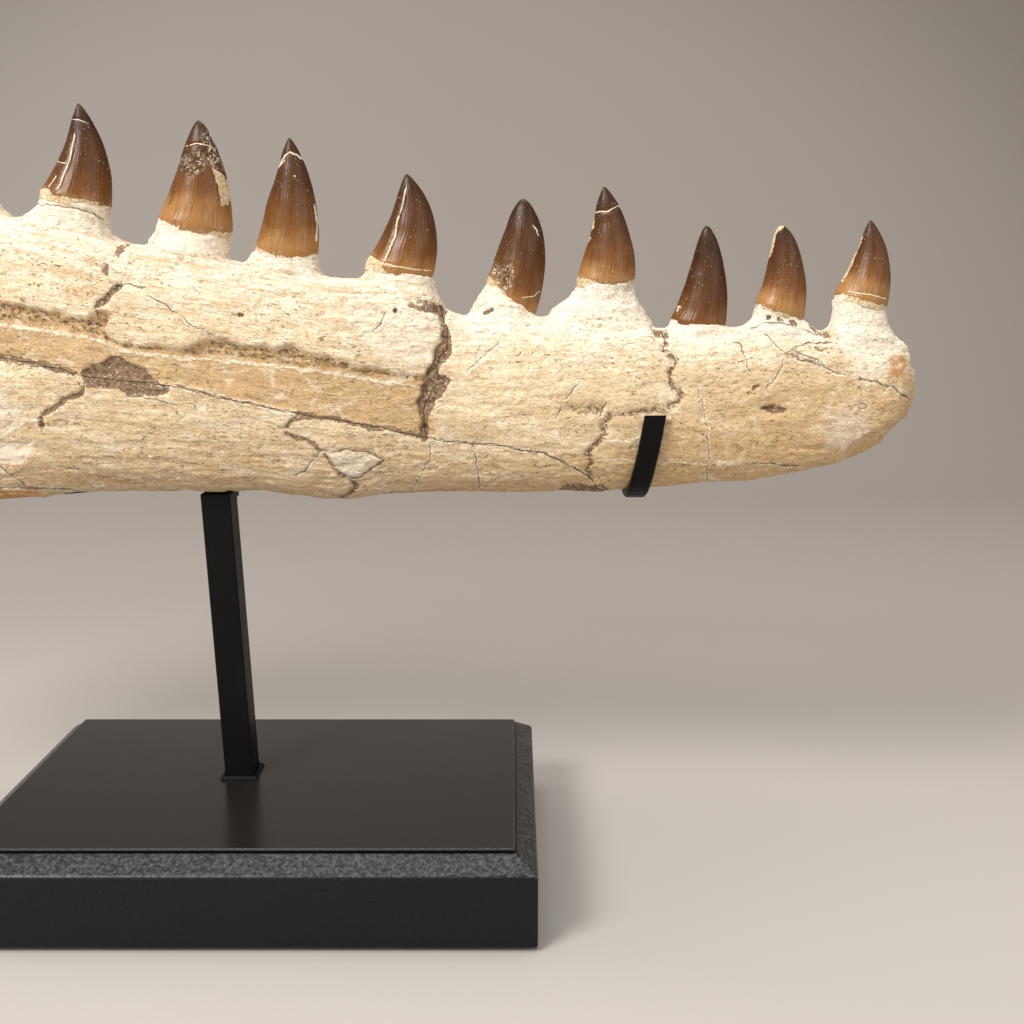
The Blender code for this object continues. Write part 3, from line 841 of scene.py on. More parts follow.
@dataclass(frozen=True)
class JawForm:
    """The outline and the thickness of the jaw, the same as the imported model's."""

    top: Profile = Profile((
        (-310, 296), (-262, 300), (-225, 299.5), (-184, 296), (-140, 290.5), (-98, 282.5), (-50, 272),
        (-6, 264.2), (36, 257.8), (60, 256.5), (73, 254), (80, 245), (87, 241.4), (120, 240.8),
        (168, 237.2), (200, 237), (236, 236.3), (261, 235), (267.3, 233), (270.2, 229.9), (271.8, 223.7),
        (273.2, 217), (274.2, 210)))
    low: Profile = Profile((
        (-310, 170), (-285, 164), (-240, 161.5), (-190, 162), (-150, 163), (-111, 164.4), (-85, 166.5),
        (-68, 167.8), (-25, 167.8), (2, 168.4), (11, 167), (32, 164.4), (40, 164.5), (48, 165.9),
        (60, 167), (102, 168.3), (130, 168.7), (145, 167.8), (152, 169.3), (166, 170.2), (188, 172.6),
        (205, 173.4), (217, 174.7), (230, 176.5), (246, 180.8), (257, 185.5), (261.4, 187.8),
        (266, 194.4), (269.2, 198.6), (272.2, 202.9), (274.2, 209.4)))
    thickness: Profile = Profile((
        (-310, 34), (-285, 42), (-250, 52), (-190, 58), (-60, 58), (40, 54), (120, 49), (190, 43),
        (235, 37), (257, 31), (266, 24), (271.5, 15), (274.2, 6)))
    middle: Profile = Profile(((-310, 9), (-200, 5), (-60, 2), (100, 2), (200, 0.5), (250, -2), (274, -4)))
    widest_at: float = 0.45
    top_fullness: float = 3.3
    low_fullness: float = 2.3
    top_narrowing: float = 0.14
    start: float = -310.0
    end: float = 274.1
    section_step: float = 2.0
    ring_points: int = 120

    def sizes(self, x: Any, z: Any) -> tuple[Any, Any, Any]:
        """Where a height lies between the widest level and the edge that it is nearer to.

        Args:
            x: One X or many.
            z: The heights.

        Returns:
            How far out each height is, from 0 to 1, whether it is in the upper part, and the power of
            the section's curve there.
        """
        low, high = self.low.at(x), self.top.at(x)
        level = low + self.widest_at * (high - low)
        upper = z > level
        reach = np.where(upper, (z - level) / (high - level), (level - z) / (level - low))
        return np.clip(reach, 0.0, 1.0), upper, np.where(upper, self.top_fullness, self.low_fullness)

    def half_width(self, x: Any, z: Any) -> Any:
        """Half the bone's thickness at some heights."""
        reach, upper, power = self.sizes(x, z)
        narrowing = np.where(upper, 1.0 - self.top_narrowing * reach, 1.0)
        return self.thickness.at(x) / 2.0 * narrowing * (1.0 - reach**power) ** (1.0 / power)

    def rings(self) -> np.ndarray:
        """The sections of the whole bone, from back to front."""
        angles = np.linspace(0.0, 2.0 * math.pi, self.ring_points, endpoint=False)
        rings = []
        xs = np.append(np.arange(self.start, self.end - 1.0, self.section_step), self.end)
        for x in xs:
            low, high = self.low.at(x), self.top.at(x)
            level = low + self.widest_at * (high - low)
            up = np.sin(angles)
            power = np.where(up > 0, self.top_fullness, self.low_fullness)
            share = np.abs(up) ** (2.0 / power)
            z = np.where(up > 0, level + (high - level) * share, level - (level - low) * share)
            y = self.middle.at(x) + np.sign(np.cos(angles)) * self.half_width(x, z)
            rings.append(np.stack([np.full(len(angles), x), y, z], axis=1))
        return np.array(rings)


@dataclass(frozen=True)
class CrownMarks:
    """What shows on the near side of one crown, in X and Z."""

    edge: Line
    cracks: tuple[Crack, ...] = ()
    bare: tuple[Line, ...] = ()
    broken: tuple[Line, ...] = ()
    darkness: float = 0.0
    stripes: float = 1.0
    chipped: float = 0.0
    band: float = 0.0


@dataclass(frozen=True)
class Tooth:
    """One tooth. rear and front are the ends of the crown's base line and tip is its point, in X and Z.

    The flanks are the sides of the bony root, from the crown down. bow pushes the middle of the crown
    forward, taper holds the two powers of its outline, and lean is how far the tip leans inwards.
    """

    rear: Point
    front: Point
    tip: Point
    rear_flank: Line
    front_flank: Line
    marks: CrownMarks
    bow: float = 4.5
    taper: Point = (1.35, 0.8)
    lean: float = 3.0


def hind_tooth(rear: Point, front: Point, tip: Point, feet: Point, bow: float, taper: Point,
               darkness: float) -> Tooth:
    """One of the hind teeth, whose root flares evenly to both sides.

    Args:
        rear: The hind end of the crown's base line.
        front: Its front end.
        tip: The crown's point.
        feet: Where the root meets the margin behind and in front.
        bow: How far the middle of the crown is pushed forward.
        taper: The two powers of its outline.
        darkness: How much darker than most the crown is.

    Returns:
        The tooth.
    """
    flanks = []
    for foot, head in zip(feet, (rear, front)):
        ground = float(FORM.top.at(foot))
        flanks.append(tuple((foot + (head[0] - foot) * (1 - (1 - s) ** ROOT_FLARE),
                             ground + (head[1] - ground) * s) for s in ROOT_STEPS))
    edge = (rear, ((rear[0] + front[0]) / 2, (rear[1] + front[1]) / 2 - 2.5), front)
    ring_z = rear[1] + 0.7 * (tip[1] - rear[1])
    ring = ((rear[0] + 6, ring_z), (tip[0] + 1, ring_z + 1.5), (front[0] - 2, ring_z - 1))
    crack = Crack(ring, 0.35, 0.2)
    marks = CrownMarks(edge, (crack,), darkness=darkness, band=2.0)
    return Tooth(rear, front, tip, flanks[0], flanks[1], marks, bow, taper)


FORM = JawForm()

# From the tip of the jaw backwards. The last four are farther back than the photograph reaches.
TEETH: tuple[Tooth, ...] = (
    Tooth((240.7, 251.6), (261.6, 245.1), (252.2, 280),
          ((240.7, 251.2), (239.4, 247.1), (239, 242.2), (238.4, 239), (235.4, 236.5)),
          ((261.4, 245.1), (262.5, 241), (264.2, 236.9), (266, 234.6), (268, 232.6)),
          CrownMarks(((240.5, 250.3), (242.2, 250.8), (252.1, 247.7), (259.4, 246.4), (261.6, 245.1)),
                     (Crack(((243.5, 252), (252, 250.6), (260.5, 248.6)), 0.3, 0.1),),
                     darkness=-0.12, chipped=1, band=1.2),
          4.5, (1.43, 0.79)),
    Tooth((208.3, 248.3), (228.2, 241), (216.8, 278),
          ((208.4, 247.5), (207.3, 244.3), (206.2, 241), (203, 237.7), (198.9, 236.5)),
          ((228.4, 240.6), (229.4, 239.6), (231.9, 238.4), (235.4, 236.4)),
          CrownMarks(((208.3, 247), (214.4, 243.8), (220.7, 242.5), (227.1, 240.7)),
                     bare=(((219.6, 279.5), (217.6, 277.2), (215, 275.2), (214.2, 271.3), (213.6, 267.6),
                            (212.4, 263.3), (211.4, 259.7), (205, 258), (208, 280)),),
                     darkness=-0.06, band=4.6, stripes=0.5),
          4.6, (1.04, 0.50)),
    Tooth((173.5, 241), (196, 238.3), (186.7, 278),
          ((173.5, 240.8), (172.9, 239), (171.5, 237)),
          ((195.9, 238.2), (196.6, 237.7), (197.8, 236.8)),
          CrownMarks(((173.3, 241), (177, 237.9), (183.4, 236.4), (193.1, 236.6), (196, 238.3)),
                     (Crack(((175.3, 243.2), (176.6, 246.3)), 0.3, 0.2),
                      Crack(((175.4, 245.6), (177.2, 245.2)), 0.22, 0.1)),
                     darkness=0.24, stripes=1.6),
          4.1, (0.95, 0.58)),
    Tooth((134.3, 256.4), (158.1, 255.8), (144.9, 293.4),
          ((134.4, 256), (133.2, 252.4), (129.5, 248.3), (125.4, 245.1), (121.5, 240.6)),
          ((157.9, 255.2), (159.2, 249.6), (161.8, 245.1), (164.6, 240.6), (166.9, 237.2)),
          CrownMarks(((134.3, 257.7), (139.6, 256.1), (143.4, 254.8), (150.5, 254.2), (158.2, 256.8)),
                     (Crack(((140.8, 283.4), (146.3, 283.5), (150.3, 285.8), (152, 285)), 0.32, 0.2),
                      Crack(((146, 253.2), (150.5, 251.3), (157.4, 252.4)), 0.3, 0.2)),
                     bare=(((138, 281), (141.4, 281.4), (141, 277.4), (139.2, 275.6)),
                           ((136, 274.5), (139.9, 273.5), (138.9, 271.6), (136, 272))),
                     darkness=-0.02, band=4, stripes=1.2),
          4.4, (1.27, 0.73)),
    Tooth((97.7, 257.2), (117, 242), (112.1, 288.7),
          ((97.7, 256.8), (94.4, 251.6), (91.5, 245.9), (88.5, 240.8)),
          ((117.2, 241.6), (117.8, 241), (118.5, 240.2)),
          CrownMarks(((97.7, 258.4), (100.2, 255.7), (104.7, 251.8), (106.2, 248.9), (107.5, 244.9),
                      (111.1, 241.7), (117, 242)),
                     (Crack(((111.2, 249.3), (116.1, 249.9), (119.5, 252.3)), 0.25, 0.1),
                      Crack(((116, 278.4), (117.9, 276.3), (118.7, 273.6)), 0.4, 0.3)),
                     broken=(((98.5, 265), (103, 262), (108, 263), (108.5, 255), (105, 251),
                              (99.5, 256.5)),),
                     darkness=0.08, stripes=1.2, band=1),
          4.3, (1.7, 0.62)),
    Tooth((47.9, 263.7), (74.9, 258.4), (65.1, 298.4),
          ((48.1, 263.4), (47.4, 261), (45.1, 258), (42.5, 256.6)),
          ((75, 257.6), (76, 252.6), (77.6, 248.3), (79.5, 244.6)),
          CrownMarks(((48.3, 263.1), (55.2, 260.9), (60.5, 257.3), (65.5, 256), (74.9, 256.5)),
                     (Crack(((65.2, 294.2), (63, 285.2), (61.2, 279.6), (60, 273.3), (57.3, 267),
                             (55.2, 263)), 0.42, 0.3),
                      Crack(((49.5, 266.2), (55.2, 263), (63.3, 261.3), (74.8, 260)), 0.34, 0.2)),
                     bare=(((46, 266.6), (49.5, 266.2), (55.2, 263), (54, 259), (46, 262)),),
                     darkness=0.04, band=1.6),
          6.7, (1.26, 0.73)),
    Tooth((2.3, 269.7), (27.5, 267.2), (18.3, 312.4),
          ((2.4, 269.4), (0.3, 267.2), (-2.8, 263.3)),
          ((27.6, 266.9), (28.2, 263.3), (29.6, 258.2)),
          CrownMarks(((2.3, 270.3), (7.4, 267.7), (13.7, 264.9), (17.2, 263.9), (20.7, 264), (27.5, 267.3)),
                     (Crack(((13, 301.4), (13.4, 301.8), (15.6, 304.6), (18.4, 306.7), (21.4, 305.6),
                             (23.4, 303.7)), 0.42, 0.3),
                      Crack(((13, 300.8), (16.8, 304)), 0.35, 0.2),
                      Crack(((27, 286.9), (27.9, 279.8), (27.6, 271.6)), 0.4, 0.2),
                      Crack(((20, 297.3), (20.9, 297.4)), 0.5, 0.2)),
                     darkness=-0.02, band=3),
          3.1, (1.4, 0.78)),
    Tooth((-36.6, 281.6), (-7.5, 276), (-17.9, 319.1),
          ((-36.8, 281.2), (-40.3, 274.4), (-42.6, 270.6)),
          ((-7.5, 275.6), (-8, 269.3), (-8.8, 264.9)),
          CrownMarks(((-36.6, 281), (-35.5, 279.4), (-29.5, 276), (-21, 274.3), (-7.9, 275.9)),
                     (Crack(((-23.5, 308.9), (-18.3, 309.8), (-13.8, 309.1), (-11.3, 308.3)), 0.3, 0.2),),
                     bare=(((-12.6, 300.6), (-8.5, 297.8), (-6.4, 290.3), (-7.7, 286.3), (-9.7, 285.5),
                            (-10.4, 292.3)),),
                     broken=(((-26.7, 303.2), (-24, 305.4), (-18.9, 306.1), (-15.2, 307.8), (-13.9, 301),
                              (-16.3, 298.2), (-19.9, 297.2), (-24.8, 299)),
                             ((-17.3, 315.8), (-13.3, 314.1), (-7.6, 299.5), (-12.6, 300.4), (-15, 307.2))),
                     darkness=-0.10, band=5.5, stripes=0.7),
          3.2, (1.19, 0.68)),
    Tooth((-84, 292.2), (-56.6, 285.9), (-65.6, 325.6),
          ((-83.8, 291.8), (-86.3, 287.1), (-89.8, 283.6), (-96.8, 281.6)),
          ((-56.7, 285.5), (-57.3, 282.4), (-57.2, 278.4), (-55.8, 274.1), (-50.7, 271.6)),
          CrownMarks(((-84, 292.4), (-78.7, 292.2), (-75.3, 289.7), (-67.5, 288.9), (-61.5, 287.1),
                      (-56.6, 285.8)),
                     (Crack(((-67, 314), (-68.1, 309.3), (-69.1, 303.6), (-71.8, 296.2), (-74.2, 291.1)),
                            0.42, 0.3),
                      Crack(((-67.9, 319.4), (-64.7, 318.9), (-61, 317.4)), 0.26, 0.2),
                      Crack(((-75.7, 303.4), (-70.4, 301.8)), 0.25, 0.1),
                      Crack(((-74.7, 297.5), (-78.4, 292.7)), 0.35, 0.1)),
                     darkness=0.14, band=2.6),
          5.3, (1.07, 0.78)),
    hind_tooth((-130.5, 301.5), (-104.5, 296), (-115.5, 334.5), (-143, -97), 4.8, (1.25, 0.75), 0),
    hind_tooth((-174.5, 308.4), (-150.5, 304.4), (-162.5, 340.2), (-186, -143), 4.6, (1.3, 0.75), 0.1),
    hind_tooth((-217, 312.4), (-194.5, 309.6), (-207, 340.6), (-228, -187), 4.4, (1.3, 0.75), -0.08),
    hind_tooth((-256, 312.6), (-235.5, 310.8), (-248.5, 336.4), (-264, -229), 4, (1.3, 0.75), 0.05),
)


@dataclass(frozen=True)
class InnerFace:
    """The lines on the jaw's inner face, in X and Z: gaps, breaks, cracks, patches and hollows."""

    splenial: Line = (
        (-310, 244), (-200, 238), (-106, 228), (-94.4, 226.5), (-86.1, 224.9), (-77.9, 223.4),
        (-69.6, 221.4), (-62.2, 218.7), (-54.8, 217.9), (-45, 217.1), (-34.8, 216.3), (-24.3, 214.6),
        (-16.1, 212.5), (-7.9, 210.4), (8.5, 207), (27.8, 203.2), (49.6, 199.1), (65.1, 196.1),
        (73.4, 194), (83, 192.4), (100.3, 191.1), (108.4, 189.5), (121, 187.5), (126.7, 184.6),
        (133.3, 180.8), (137.9, 178.1), (141.4, 174.5), (146, 158))
    ledge: Line = (
        (-310, 262), (-200, 256), (-104, 248), (-93.4, 247.4), (-86, 246.6), (-78.5, 245.3),
        (-71.9, 244.1), (-66, 242.5), (-60.5, 241.6), (-54.7, 244.7), (-49.7, 242.8), (-50.5, 240.1),
        (-54.4, 238.1), (-52.5, 235), (-48.3, 232.7), (-41, 231), (-32.8, 230.6), (-23.8, 229.4),
        (-19.5, 231), (-11.6, 233), (-5.7, 233.4), (0.9, 231), (7.6, 231), (15, 230.1), (20.9, 230.9),
        (25.6, 227.6), (34.6, 226.8), (42.9, 223.6), (55.9, 220.8), (65.4, 219.8), (76, 218.4))
    lip: Line = (
        (-310, 256), (-200, 249), (-104, 241), (-93.7, 240.1), (-81.9, 238.9), (-70.1, 238.1),
        (-58.4, 235), (-50, 230.6), (-41.1, 229.2), (-31.3, 228.6), (-19.6, 227.2), (-5.9, 226.4),
        (7.8, 225.2), (23.5, 222.4), (35.4, 221.6), (47.2, 220.6), (55.9, 218.9), (65.4, 217.2), (76, 215.6))
    rear_break: Line = (
        (77, 330), (78, 247), (79.8, 240), (81.6, 236), (81.4, 229.5), (78, 226), (77.2, 221.7),
        (78.4, 218.4), (76.8, 215), (73.8, 209.7), (71.9, 205.3), (72.4, 199), (72.3, 192), (73.8, 184),
        (70.9, 178), (65.8, 168), (65, 140))
    front_break: Line = (
        (168.5, 330), (168.7, 236.4), (169.8, 232.3), (168.8, 228.1), (172.1, 226.4), (173.8, 223.9),
        (171.4, 220.5), (171.6, 215.4), (175.5, 210.2), (173.8, 207.6), (167.8, 205.1), (159.9, 204.2),
        (147.7, 202.9), (144.2, 199), (145.1, 195.5), (140.8, 191), (138.4, 187.4), (140.1, 183.8),
        (137.8, 180.2), (141.4, 174), (145, 166), (145, 140))
    dentary_rear: Line = (
        (-262, 320), (-273, 297), (-284, 281), (-295, 264), (-290, 250), (-283, 237), (-279, 214),
        (-276, 190), (-279, 150))
    splenial_rear: Line = ((-296, 243.2), (-301, 226), (-303, 210), (-301, 190), (-295, 174), (-287, 150))
    splenial_inner_y: float = -5.0
    band_depth: float = 1.5
    band_end: float = 76.0
    # The cracks of the inner face, and the seam between the two bones.
    cracks: tuple[Crack, ...] = (
        Crack(splenial[:9], 1.25, 0.9, 0.85),
        Crack(((-36, 216.4), (-24.3, 214.6), (-16.1, 212.5), (-7.9, 210.4), (8.5, 207), (24, 203.9)), 0.4,
            0.5),
        Crack(((20, 204.6), (39.3, 201.2), (49.6, 199.1), (57.9, 197.6), (65.1, 196.1), (73.4, 194)), 1,
            0.8, 0.75),
        Crack(splenial[18:-1], 0.24, 0.4),
        Crack(((-61.6, 214.8), (-64.2, 212.1), (-70.4, 210), (-73.5, 207.5), (-77.8, 204.5), (-80.5, 202),
            (-80.1, 199.2)), 1, 1.1, 0.7),
        Crack(((-108, 186), (-100.8, 181.5), (-97.8, 177.6), (-95.4, 174.8), (-93.3, 172.1)), 0.35, 0.7),
        Crack(((-130, 175.5), (-104.4, 171.9), (-93.6, 171.6), (-83.4, 170.9), (-73.3, 169.8)), 0.4, 0.7),
        Crack(((-73.8, 180.6), (-70.5, 180.9), (-68, 179.6)), 0.45, 0.6),
        Crack(((-62, 178), (-52, 176), (-43.3, 173.7)), 0.15, 0.2),
        Crack(((-49.7, 252.4), (-47.5, 254.3), (-44.4, 254.7), (-40.9, 254), (-37.8, 252.6)), 0.26, 0.4),
        Crack(((-39.5, 253.8), (-36.3, 253.4)), 0.5, 0.7),
        Crack(((-3, 243), (0.1, 242.6), (1.5, 242.3)), 0.5, 0.8),
        Crack(((-36.2, 250.5), (-28, 246.5), (-19.8, 239.3), (-10, 234.6)), 0.14, 0.3),
        Crack(((-99, 287.3), (-85.3, 286.5), (-73, 285.7), (-60.9, 282.5), (-53.9, 277.3),
            (-50.6, 272.1)), 0.3, 0.6),
        Crack(((-46, 210.6), (-40, 211.2), (-31, 208.6), (-25, 207.2)), 0.3, 0.5),
        Crack(((16.4, 197.6), (19, 200.4), (22.5, 202), (27.8, 202.9)), 1, 0.9, 0.8),
        Crack(((15.9, 196.6), (22.6, 194.2), (28, 191.7), (32, 187.5)), 0.9, 0.8, 0.7),
        Crack(((32, 187.5), (34.3, 183), (37.1, 178.5), (40.9, 176.6)), 0.9, 0.8, 0.6),
        Crack(((40.9, 176.6), (46.7, 177.9), (51.2, 181.1), (55.3, 184.2)), 0.34, 0.7),
        Crack(((33.6, 187.2), (41.1, 189.3), (47, 188.4), (52, 186.6), (55.3, 184.4)), 0.3, 0.6),
        Crack(((48, 188.4), (52.5, 186.4), (55.6, 184.2)), 0.6, 0.8),
        Crack(((41.7, 176.1), (43.7, 172.7), (39.9, 169.2), (34.9, 166.2)), 0.95, 0.9, 0.65),
        Crack(((18.9, 177.8), (22.5, 179.8), (27.6, 185.4), (32.7, 189.6)), 0.16, 0.5),
        Crack(((51.7, 236.1), (54.5, 238), (56, 240.9), (56.6, 243), (57.5, 244.4)), 0.3, 0.5),
        Crack(((60.2, 244.1), (61.4, 244.2)), 0.5, 0.7),
        Crack(((65.5, 247.3), (70, 245.6), (75, 244.4), (79, 243.6)), 0.9, 0.8, 0.6),
        Crack(((90.7, 190.7), (93.2, 184.7), (93.5, 178.2), (94.4, 169.6)), 0.2, 0.35),
        Crack(((74.8, 191.5), (73.8, 184.7), (70.9, 178.2), (65.8, 170)), 0.16, 0.35),
        Crack(((181.5, 215.4), (184.4, 208.4), (185.8, 200.6), (186.9, 193.6), (187.9, 186.1),
            (187.8, 180.3), (189.4, 172.2)), 0.12, 0.25),
        Crack(((135.5, 216.6), (132.5, 213.4), (128.8, 208.7), (126, 204), (124.1, 201.4)), 0.15, 0.4),
        Crack(((146.1, 208.7), (144.4, 206.2), (143, 202.1)), 0.42, 0.6),
        Crack(((210.1, 235.6), (213.4, 231.4), (217.6, 227.1)), 0.2, 0.5),
        Crack(((217.6, 227.1), (223, 230.6), (231.2, 231.4), (238.1, 231.4)), 0.24, 0.5),
        Crack(((218.4, 227.1), (224.6, 224.8), (231.5, 223), (236.8, 220.4), (242.1, 218.7)), 0.3, 0.7),
        Crack(((219.5, 228.4), (226, 226.6), (232.5, 224.6), (233.6, 222.4)), 0.26, 0.5),
        Crack(((217.5, 225.5), (215.8, 221.2), (213, 216.9), (209.8, 213.5)), 0.16, 0.4),
        Crack(((200.5, 231.4), (201.4, 226.3), (202.1, 222), (204.5, 220)), 0.16, 0.3),
        Crack(((196.5, 231.6), (200.5, 231.4)), 0.16, 0.2),
        Crack(((251.6, 216.8), (256.5, 215.2), (262.3, 213.7), (266, 210.6), (271.3, 208.1)), 0.4, 0.8),
        Crack(((247.8, 217.4), (251, 217), (254.5, 215.6)), 0.7, 1),
        Crack(((217.5, 181.4), (222, 181.1), (226.4, 181.3)), 0.45, 0.9),
        Crack(((206, 183), (217.5, 181.6)), 0.14, 0.2),
        Crack(((89.6, 220.2), (96.4, 226.6), (102.8, 232.1)), 0.14, 0.5),
        Crack(((109.2, 226), (111.6, 228.3)), 0.26, 0.4),
        Crack(((115.2, 226.8), (116.8, 228.3)), 0.26, 0.4),
        Crack(((204.5, 236.5), (211, 239.6), (222, 238.6), (229, 235.2), (235, 234.2)), 0.24, 0.5),
        Crack(((247.5, 206), (248.2, 205.2), (250.6, 205.4), (251.6, 206.6), (250.2, 207.6),
            (248, 207.2)), 0.2, 0.3),
    )
    # The two breaks on the outer face, which run right round the bone.
    far_cracks: tuple[Crack, ...] = (
        Crack(rear_break[1:-1], 1.5, 1.2, 0.85),
        Crack(front_break[1:-1], 1, 1, 0.8),
    )
    # The pale raised lines: chipped rims and filled cracks.
    veins: tuple[Crack, ...] = (
        Crack(((-80.5, 202), (-85.9, 201.1), (-91.1, 198.5), (-97, 194.9)), 0.8, -0.3),
        Crack(((140.9, 185), (156.9, 184.1), (179.6, 182.4), (188.3, 182.3)), 0.35, -0.15),
        Crack(((145.1, 192.4), (154.9, 192.3), (159.6, 195)), 0.35, -0.15),
        Crack(((90.2, 219.2), (97, 225.6), (103.4, 231.3)), 0.5, -0.2),
        Crack(((109.8, 225.2), (112.2, 227.5)), 0.5, -0.2),
        Crack(((115.8, 226), (117.4, 227.5)), 0.5, -0.2),
        Crack(((39.4, 234), (50, 231), (62, 229.4), (72, 231.4)), 0.4, -0.4),
        Crack(((-104, 239.6), (-82, 237.6), (-58.4, 233.6), (-41.1, 227.6), (-19.6, 225.6), (7.8, 223.6),
            (35.4, 219.8), (72, 213.8)), 0.7, -0.3),
        Crack(((35.5, 182), (40, 178.2), (46, 179.6)), 0.4, -0.2),
    )
    # The outlined patches: rock in the gaps, plaster, stains, chalky bone and chipped bone.
    patches: tuple[Patch, ...] = (
        Patch(Fill.ROCK, ledge + lip[::-1], 1.7, 0.9, 0.34, 1),
        Patch(Fill.ROCK, ((-63.5, 221), (-61.2, 222.2), (-54.5, 224.5), (-51.3, 226.9), (-47.5, 226.4),
            (-44.7, 224.5), (-37.4, 221.2), (-35.6, 217.9), (-28.6, 214.7), (-28.9, 212.6),
            (-33.6, 210.4), (-38.6, 212.2), (-41.8, 211.2), (-45.4, 210.8), (-48.3, 213.8), (-55, 214.2),
            (-61.6, 214.8), (-62.6, 217.9)), 1.4, 0.9, 0.95, 0.35),
        Patch(Fill.ROCK, ((75, 247), (79.1, 240), (80, 236.7), (79.3, 232), (76.8, 229), (76, 224.1),
            (73.6, 220.1), (71.9, 216.1), (71.1, 211.3), (69.4, 208.2), (71, 202.3), (70.8, 196.5),
            (71, 192.5), (73.9, 192.5), (73.7, 195.6), (74.2, 202.3), (76.7, 208.1), (81.6, 213.6),
            (83.2, 216.8), (78.5, 219.3), (79.3, 223.3), (83.6, 227.3), (83.2, 235.1), (80.6, 239.9),
            (81.6, 246)), 1.7, 0.8, 0.95, 0.9),
        Patch(Fill.ROCK, ((167, 240.5), (168, 236.4), (168.8, 232.3), (167.6, 228.1), (171.1, 225.4),
            (172.4, 223.9), (170.2, 220.5), (170.3, 214.8), (173.9, 209.9), (172.8, 208.4),
            (168.8, 206.5), (166, 204.8), (170.5, 204.2), (175, 206.6), (178.4, 210.4), (173.4, 215.4),
            (172.8, 220.5), (175.6, 223.9), (173.4, 228.6), (170.4, 229.1), (171.6, 232.3), (171, 240.5)),
            0.9, 0.8, 0.46, 0.7),
        Patch(Fill.ROCK, ((169.8, 206.6), (159.9, 205.3), (147.7, 203.8), (143, 201.2), (142.6, 198.8),
            (143.6, 195.5), (139.4, 191.2), (137, 187.4), (138.6, 183.8), (136.6, 180.2), (139.6, 174.6),
            (143.6, 174.6), (139.6, 180.6), (141.8, 184), (140.4, 187.6), (143, 190.6), (147, 195.2),
            (146.4, 199.6), (149, 201.6), (159.9, 202.9), (168.5, 203.6)), 0.9, 0.8, 0.46, 0.6),
        Patch(Fill.ROCK, ((128.4, 204.6), (134, 203.2), (142.5, 202.4), (145, 205.4), (144.5, 208),
            (138, 207), (131, 207.6)), 0.9, 1.6, 0.45, 0.5),
        Patch(Fill.ROCK, ((126, 168), (130.4, 173.6), (138, 172.8), (145.8, 172.6), (150, 168)), 0.7, 0.9,
            0.8, 0.8),
        Patch(Fill.ROCK, ((-55.5, 248.5), (-52.4, 250.6), (-49.2, 254.3), (-46.4, 255.9), (-45.8, 254.2),
            (-49, 251), (-51.9, 247.4), (-53.5, 245.6), (-57.5, 244.6)), 1.1, 0.6, 0.85, 0.6),
        Patch(Fill.ROCK, ((-51, 270.8), (-47.6, 271.2), (-46.6, 267.2), (-48, 264.9), (-50.5, 265.9)),
            0.5, 0.6, 0.6, 0.3),
        Patch(Fill.ROCK, ((-54.6, 262.4), (-51.8, 262.8), (-52.1, 257.2), (-54.6, 258)), 0.5, 0.6, 0.5,
            0.3),
        Patch(Fill.ROCK, ((66, 248.6), (71, 249.6), (77, 247.4), (79.2, 243.2), (75.2, 243.6),
            (71.4, 246)), 1, 0.9, 0.5, 0.9),
        Patch(Fill.ROCK, ((228.4, 239.6), (231.6, 240.4), (236.4, 238.6), (237.8, 233.6), (234.4, 232.6),
            (230.6, 235)), 0.7, 0.9, 0.55, 0.8),
        Patch(Fill.ROCK, ((163.6, 240.6), (167.4, 239.4), (171.6, 236.8), (169.2, 232.4), (165.2, 234.4)),
            0.7, 0.9, 0.6, 0.8),
        Patch(Fill.PLASTER, ((-120, 192.4), (-98.2, 192.4), (-85.3, 192.5), (-88, 187), (-92.2, 183.5),
            (-100.3, 183.5), (-120, 184)), 0.25, 0.6),
        Patch(Fill.PLASTER, ((-35.5, 279), (-28, 275), (-8.5, 275.5), (-8.5, 266.5), (-21, 268.5),
            (-33, 271.5)), 0.1, 1, 0.75),
        Patch(Fill.PLASTER, ((-84, 290), (-72, 288), (-57, 285), (-56, 277), (-66, 280.5), (-85, 284)),
            0.1, 1, 0.45),
        Patch(Fill.PLASTER, ((100.8, 255), (97, 250.5), (98.5, 246.5), (102.5, 246.6), (103.6, 251.5)),
            -0.2, 0.6, 0.5),
        Patch(Fill.STAIN, ((-67.5, 249.4), (-60, 248.6), (-52.6, 252.5), (-58, 255), (-69, 252.8)), 0,
            1.2, 0.7),
        Patch(Fill.STAIN, ((-120, 171.4), (-104.4, 171.3), (-89.6, 171.1), (-90.5, 164), (-120, 162)),
            -0.2, 0.6, 1),
        Patch(Fill.STAIN, ((-67.5, 179.6), (-56, 177.2), (-43.3, 174.6), (-45, 172.6), (-66, 176.4)), 0,
            0.8, 0.75),
        Patch(Fill.STAIN, ((259.6, 226.5), (266, 227.6), (270, 222.8), (266.6, 217.4), (260.8, 218.4)), 0,
            1.6, 0.9),
        Patch(Fill.STAIN, ((233.6, 237.6), (239.6, 237.4), (241, 232.4), (236, 230.8)), 0, 1.4, 0.5),
        Patch(Fill.STAIN, ((-56, 262), (-51, 268), (-62, 270), (-64, 264.5)), 0, 1.8, 0.3),
        Patch(Fill.STAIN, ((209, 208.6), (216, 208.8), (219, 205), (211, 203.4)), 0, 1.2, 0.35),
        Patch(Fill.CHALK, ((236.6, 238.8), (246, 251), (262, 245), (268, 232), (262, 222), (250, 214),
            (244, 222)), 0, 3, 0.6),
        Patch(Fill.CHALK, ((199, 236), (208, 248), (228, 241.5), (236, 236), (228, 233.5), (212, 234)), 0,
            2.2, 0.7),
        Patch(Fill.CHALK, ((121, 241), (134, 256.6), (158, 256.6), (167, 238), (150, 243.5), (134, 243)),
            0, 2.2, 0.8),
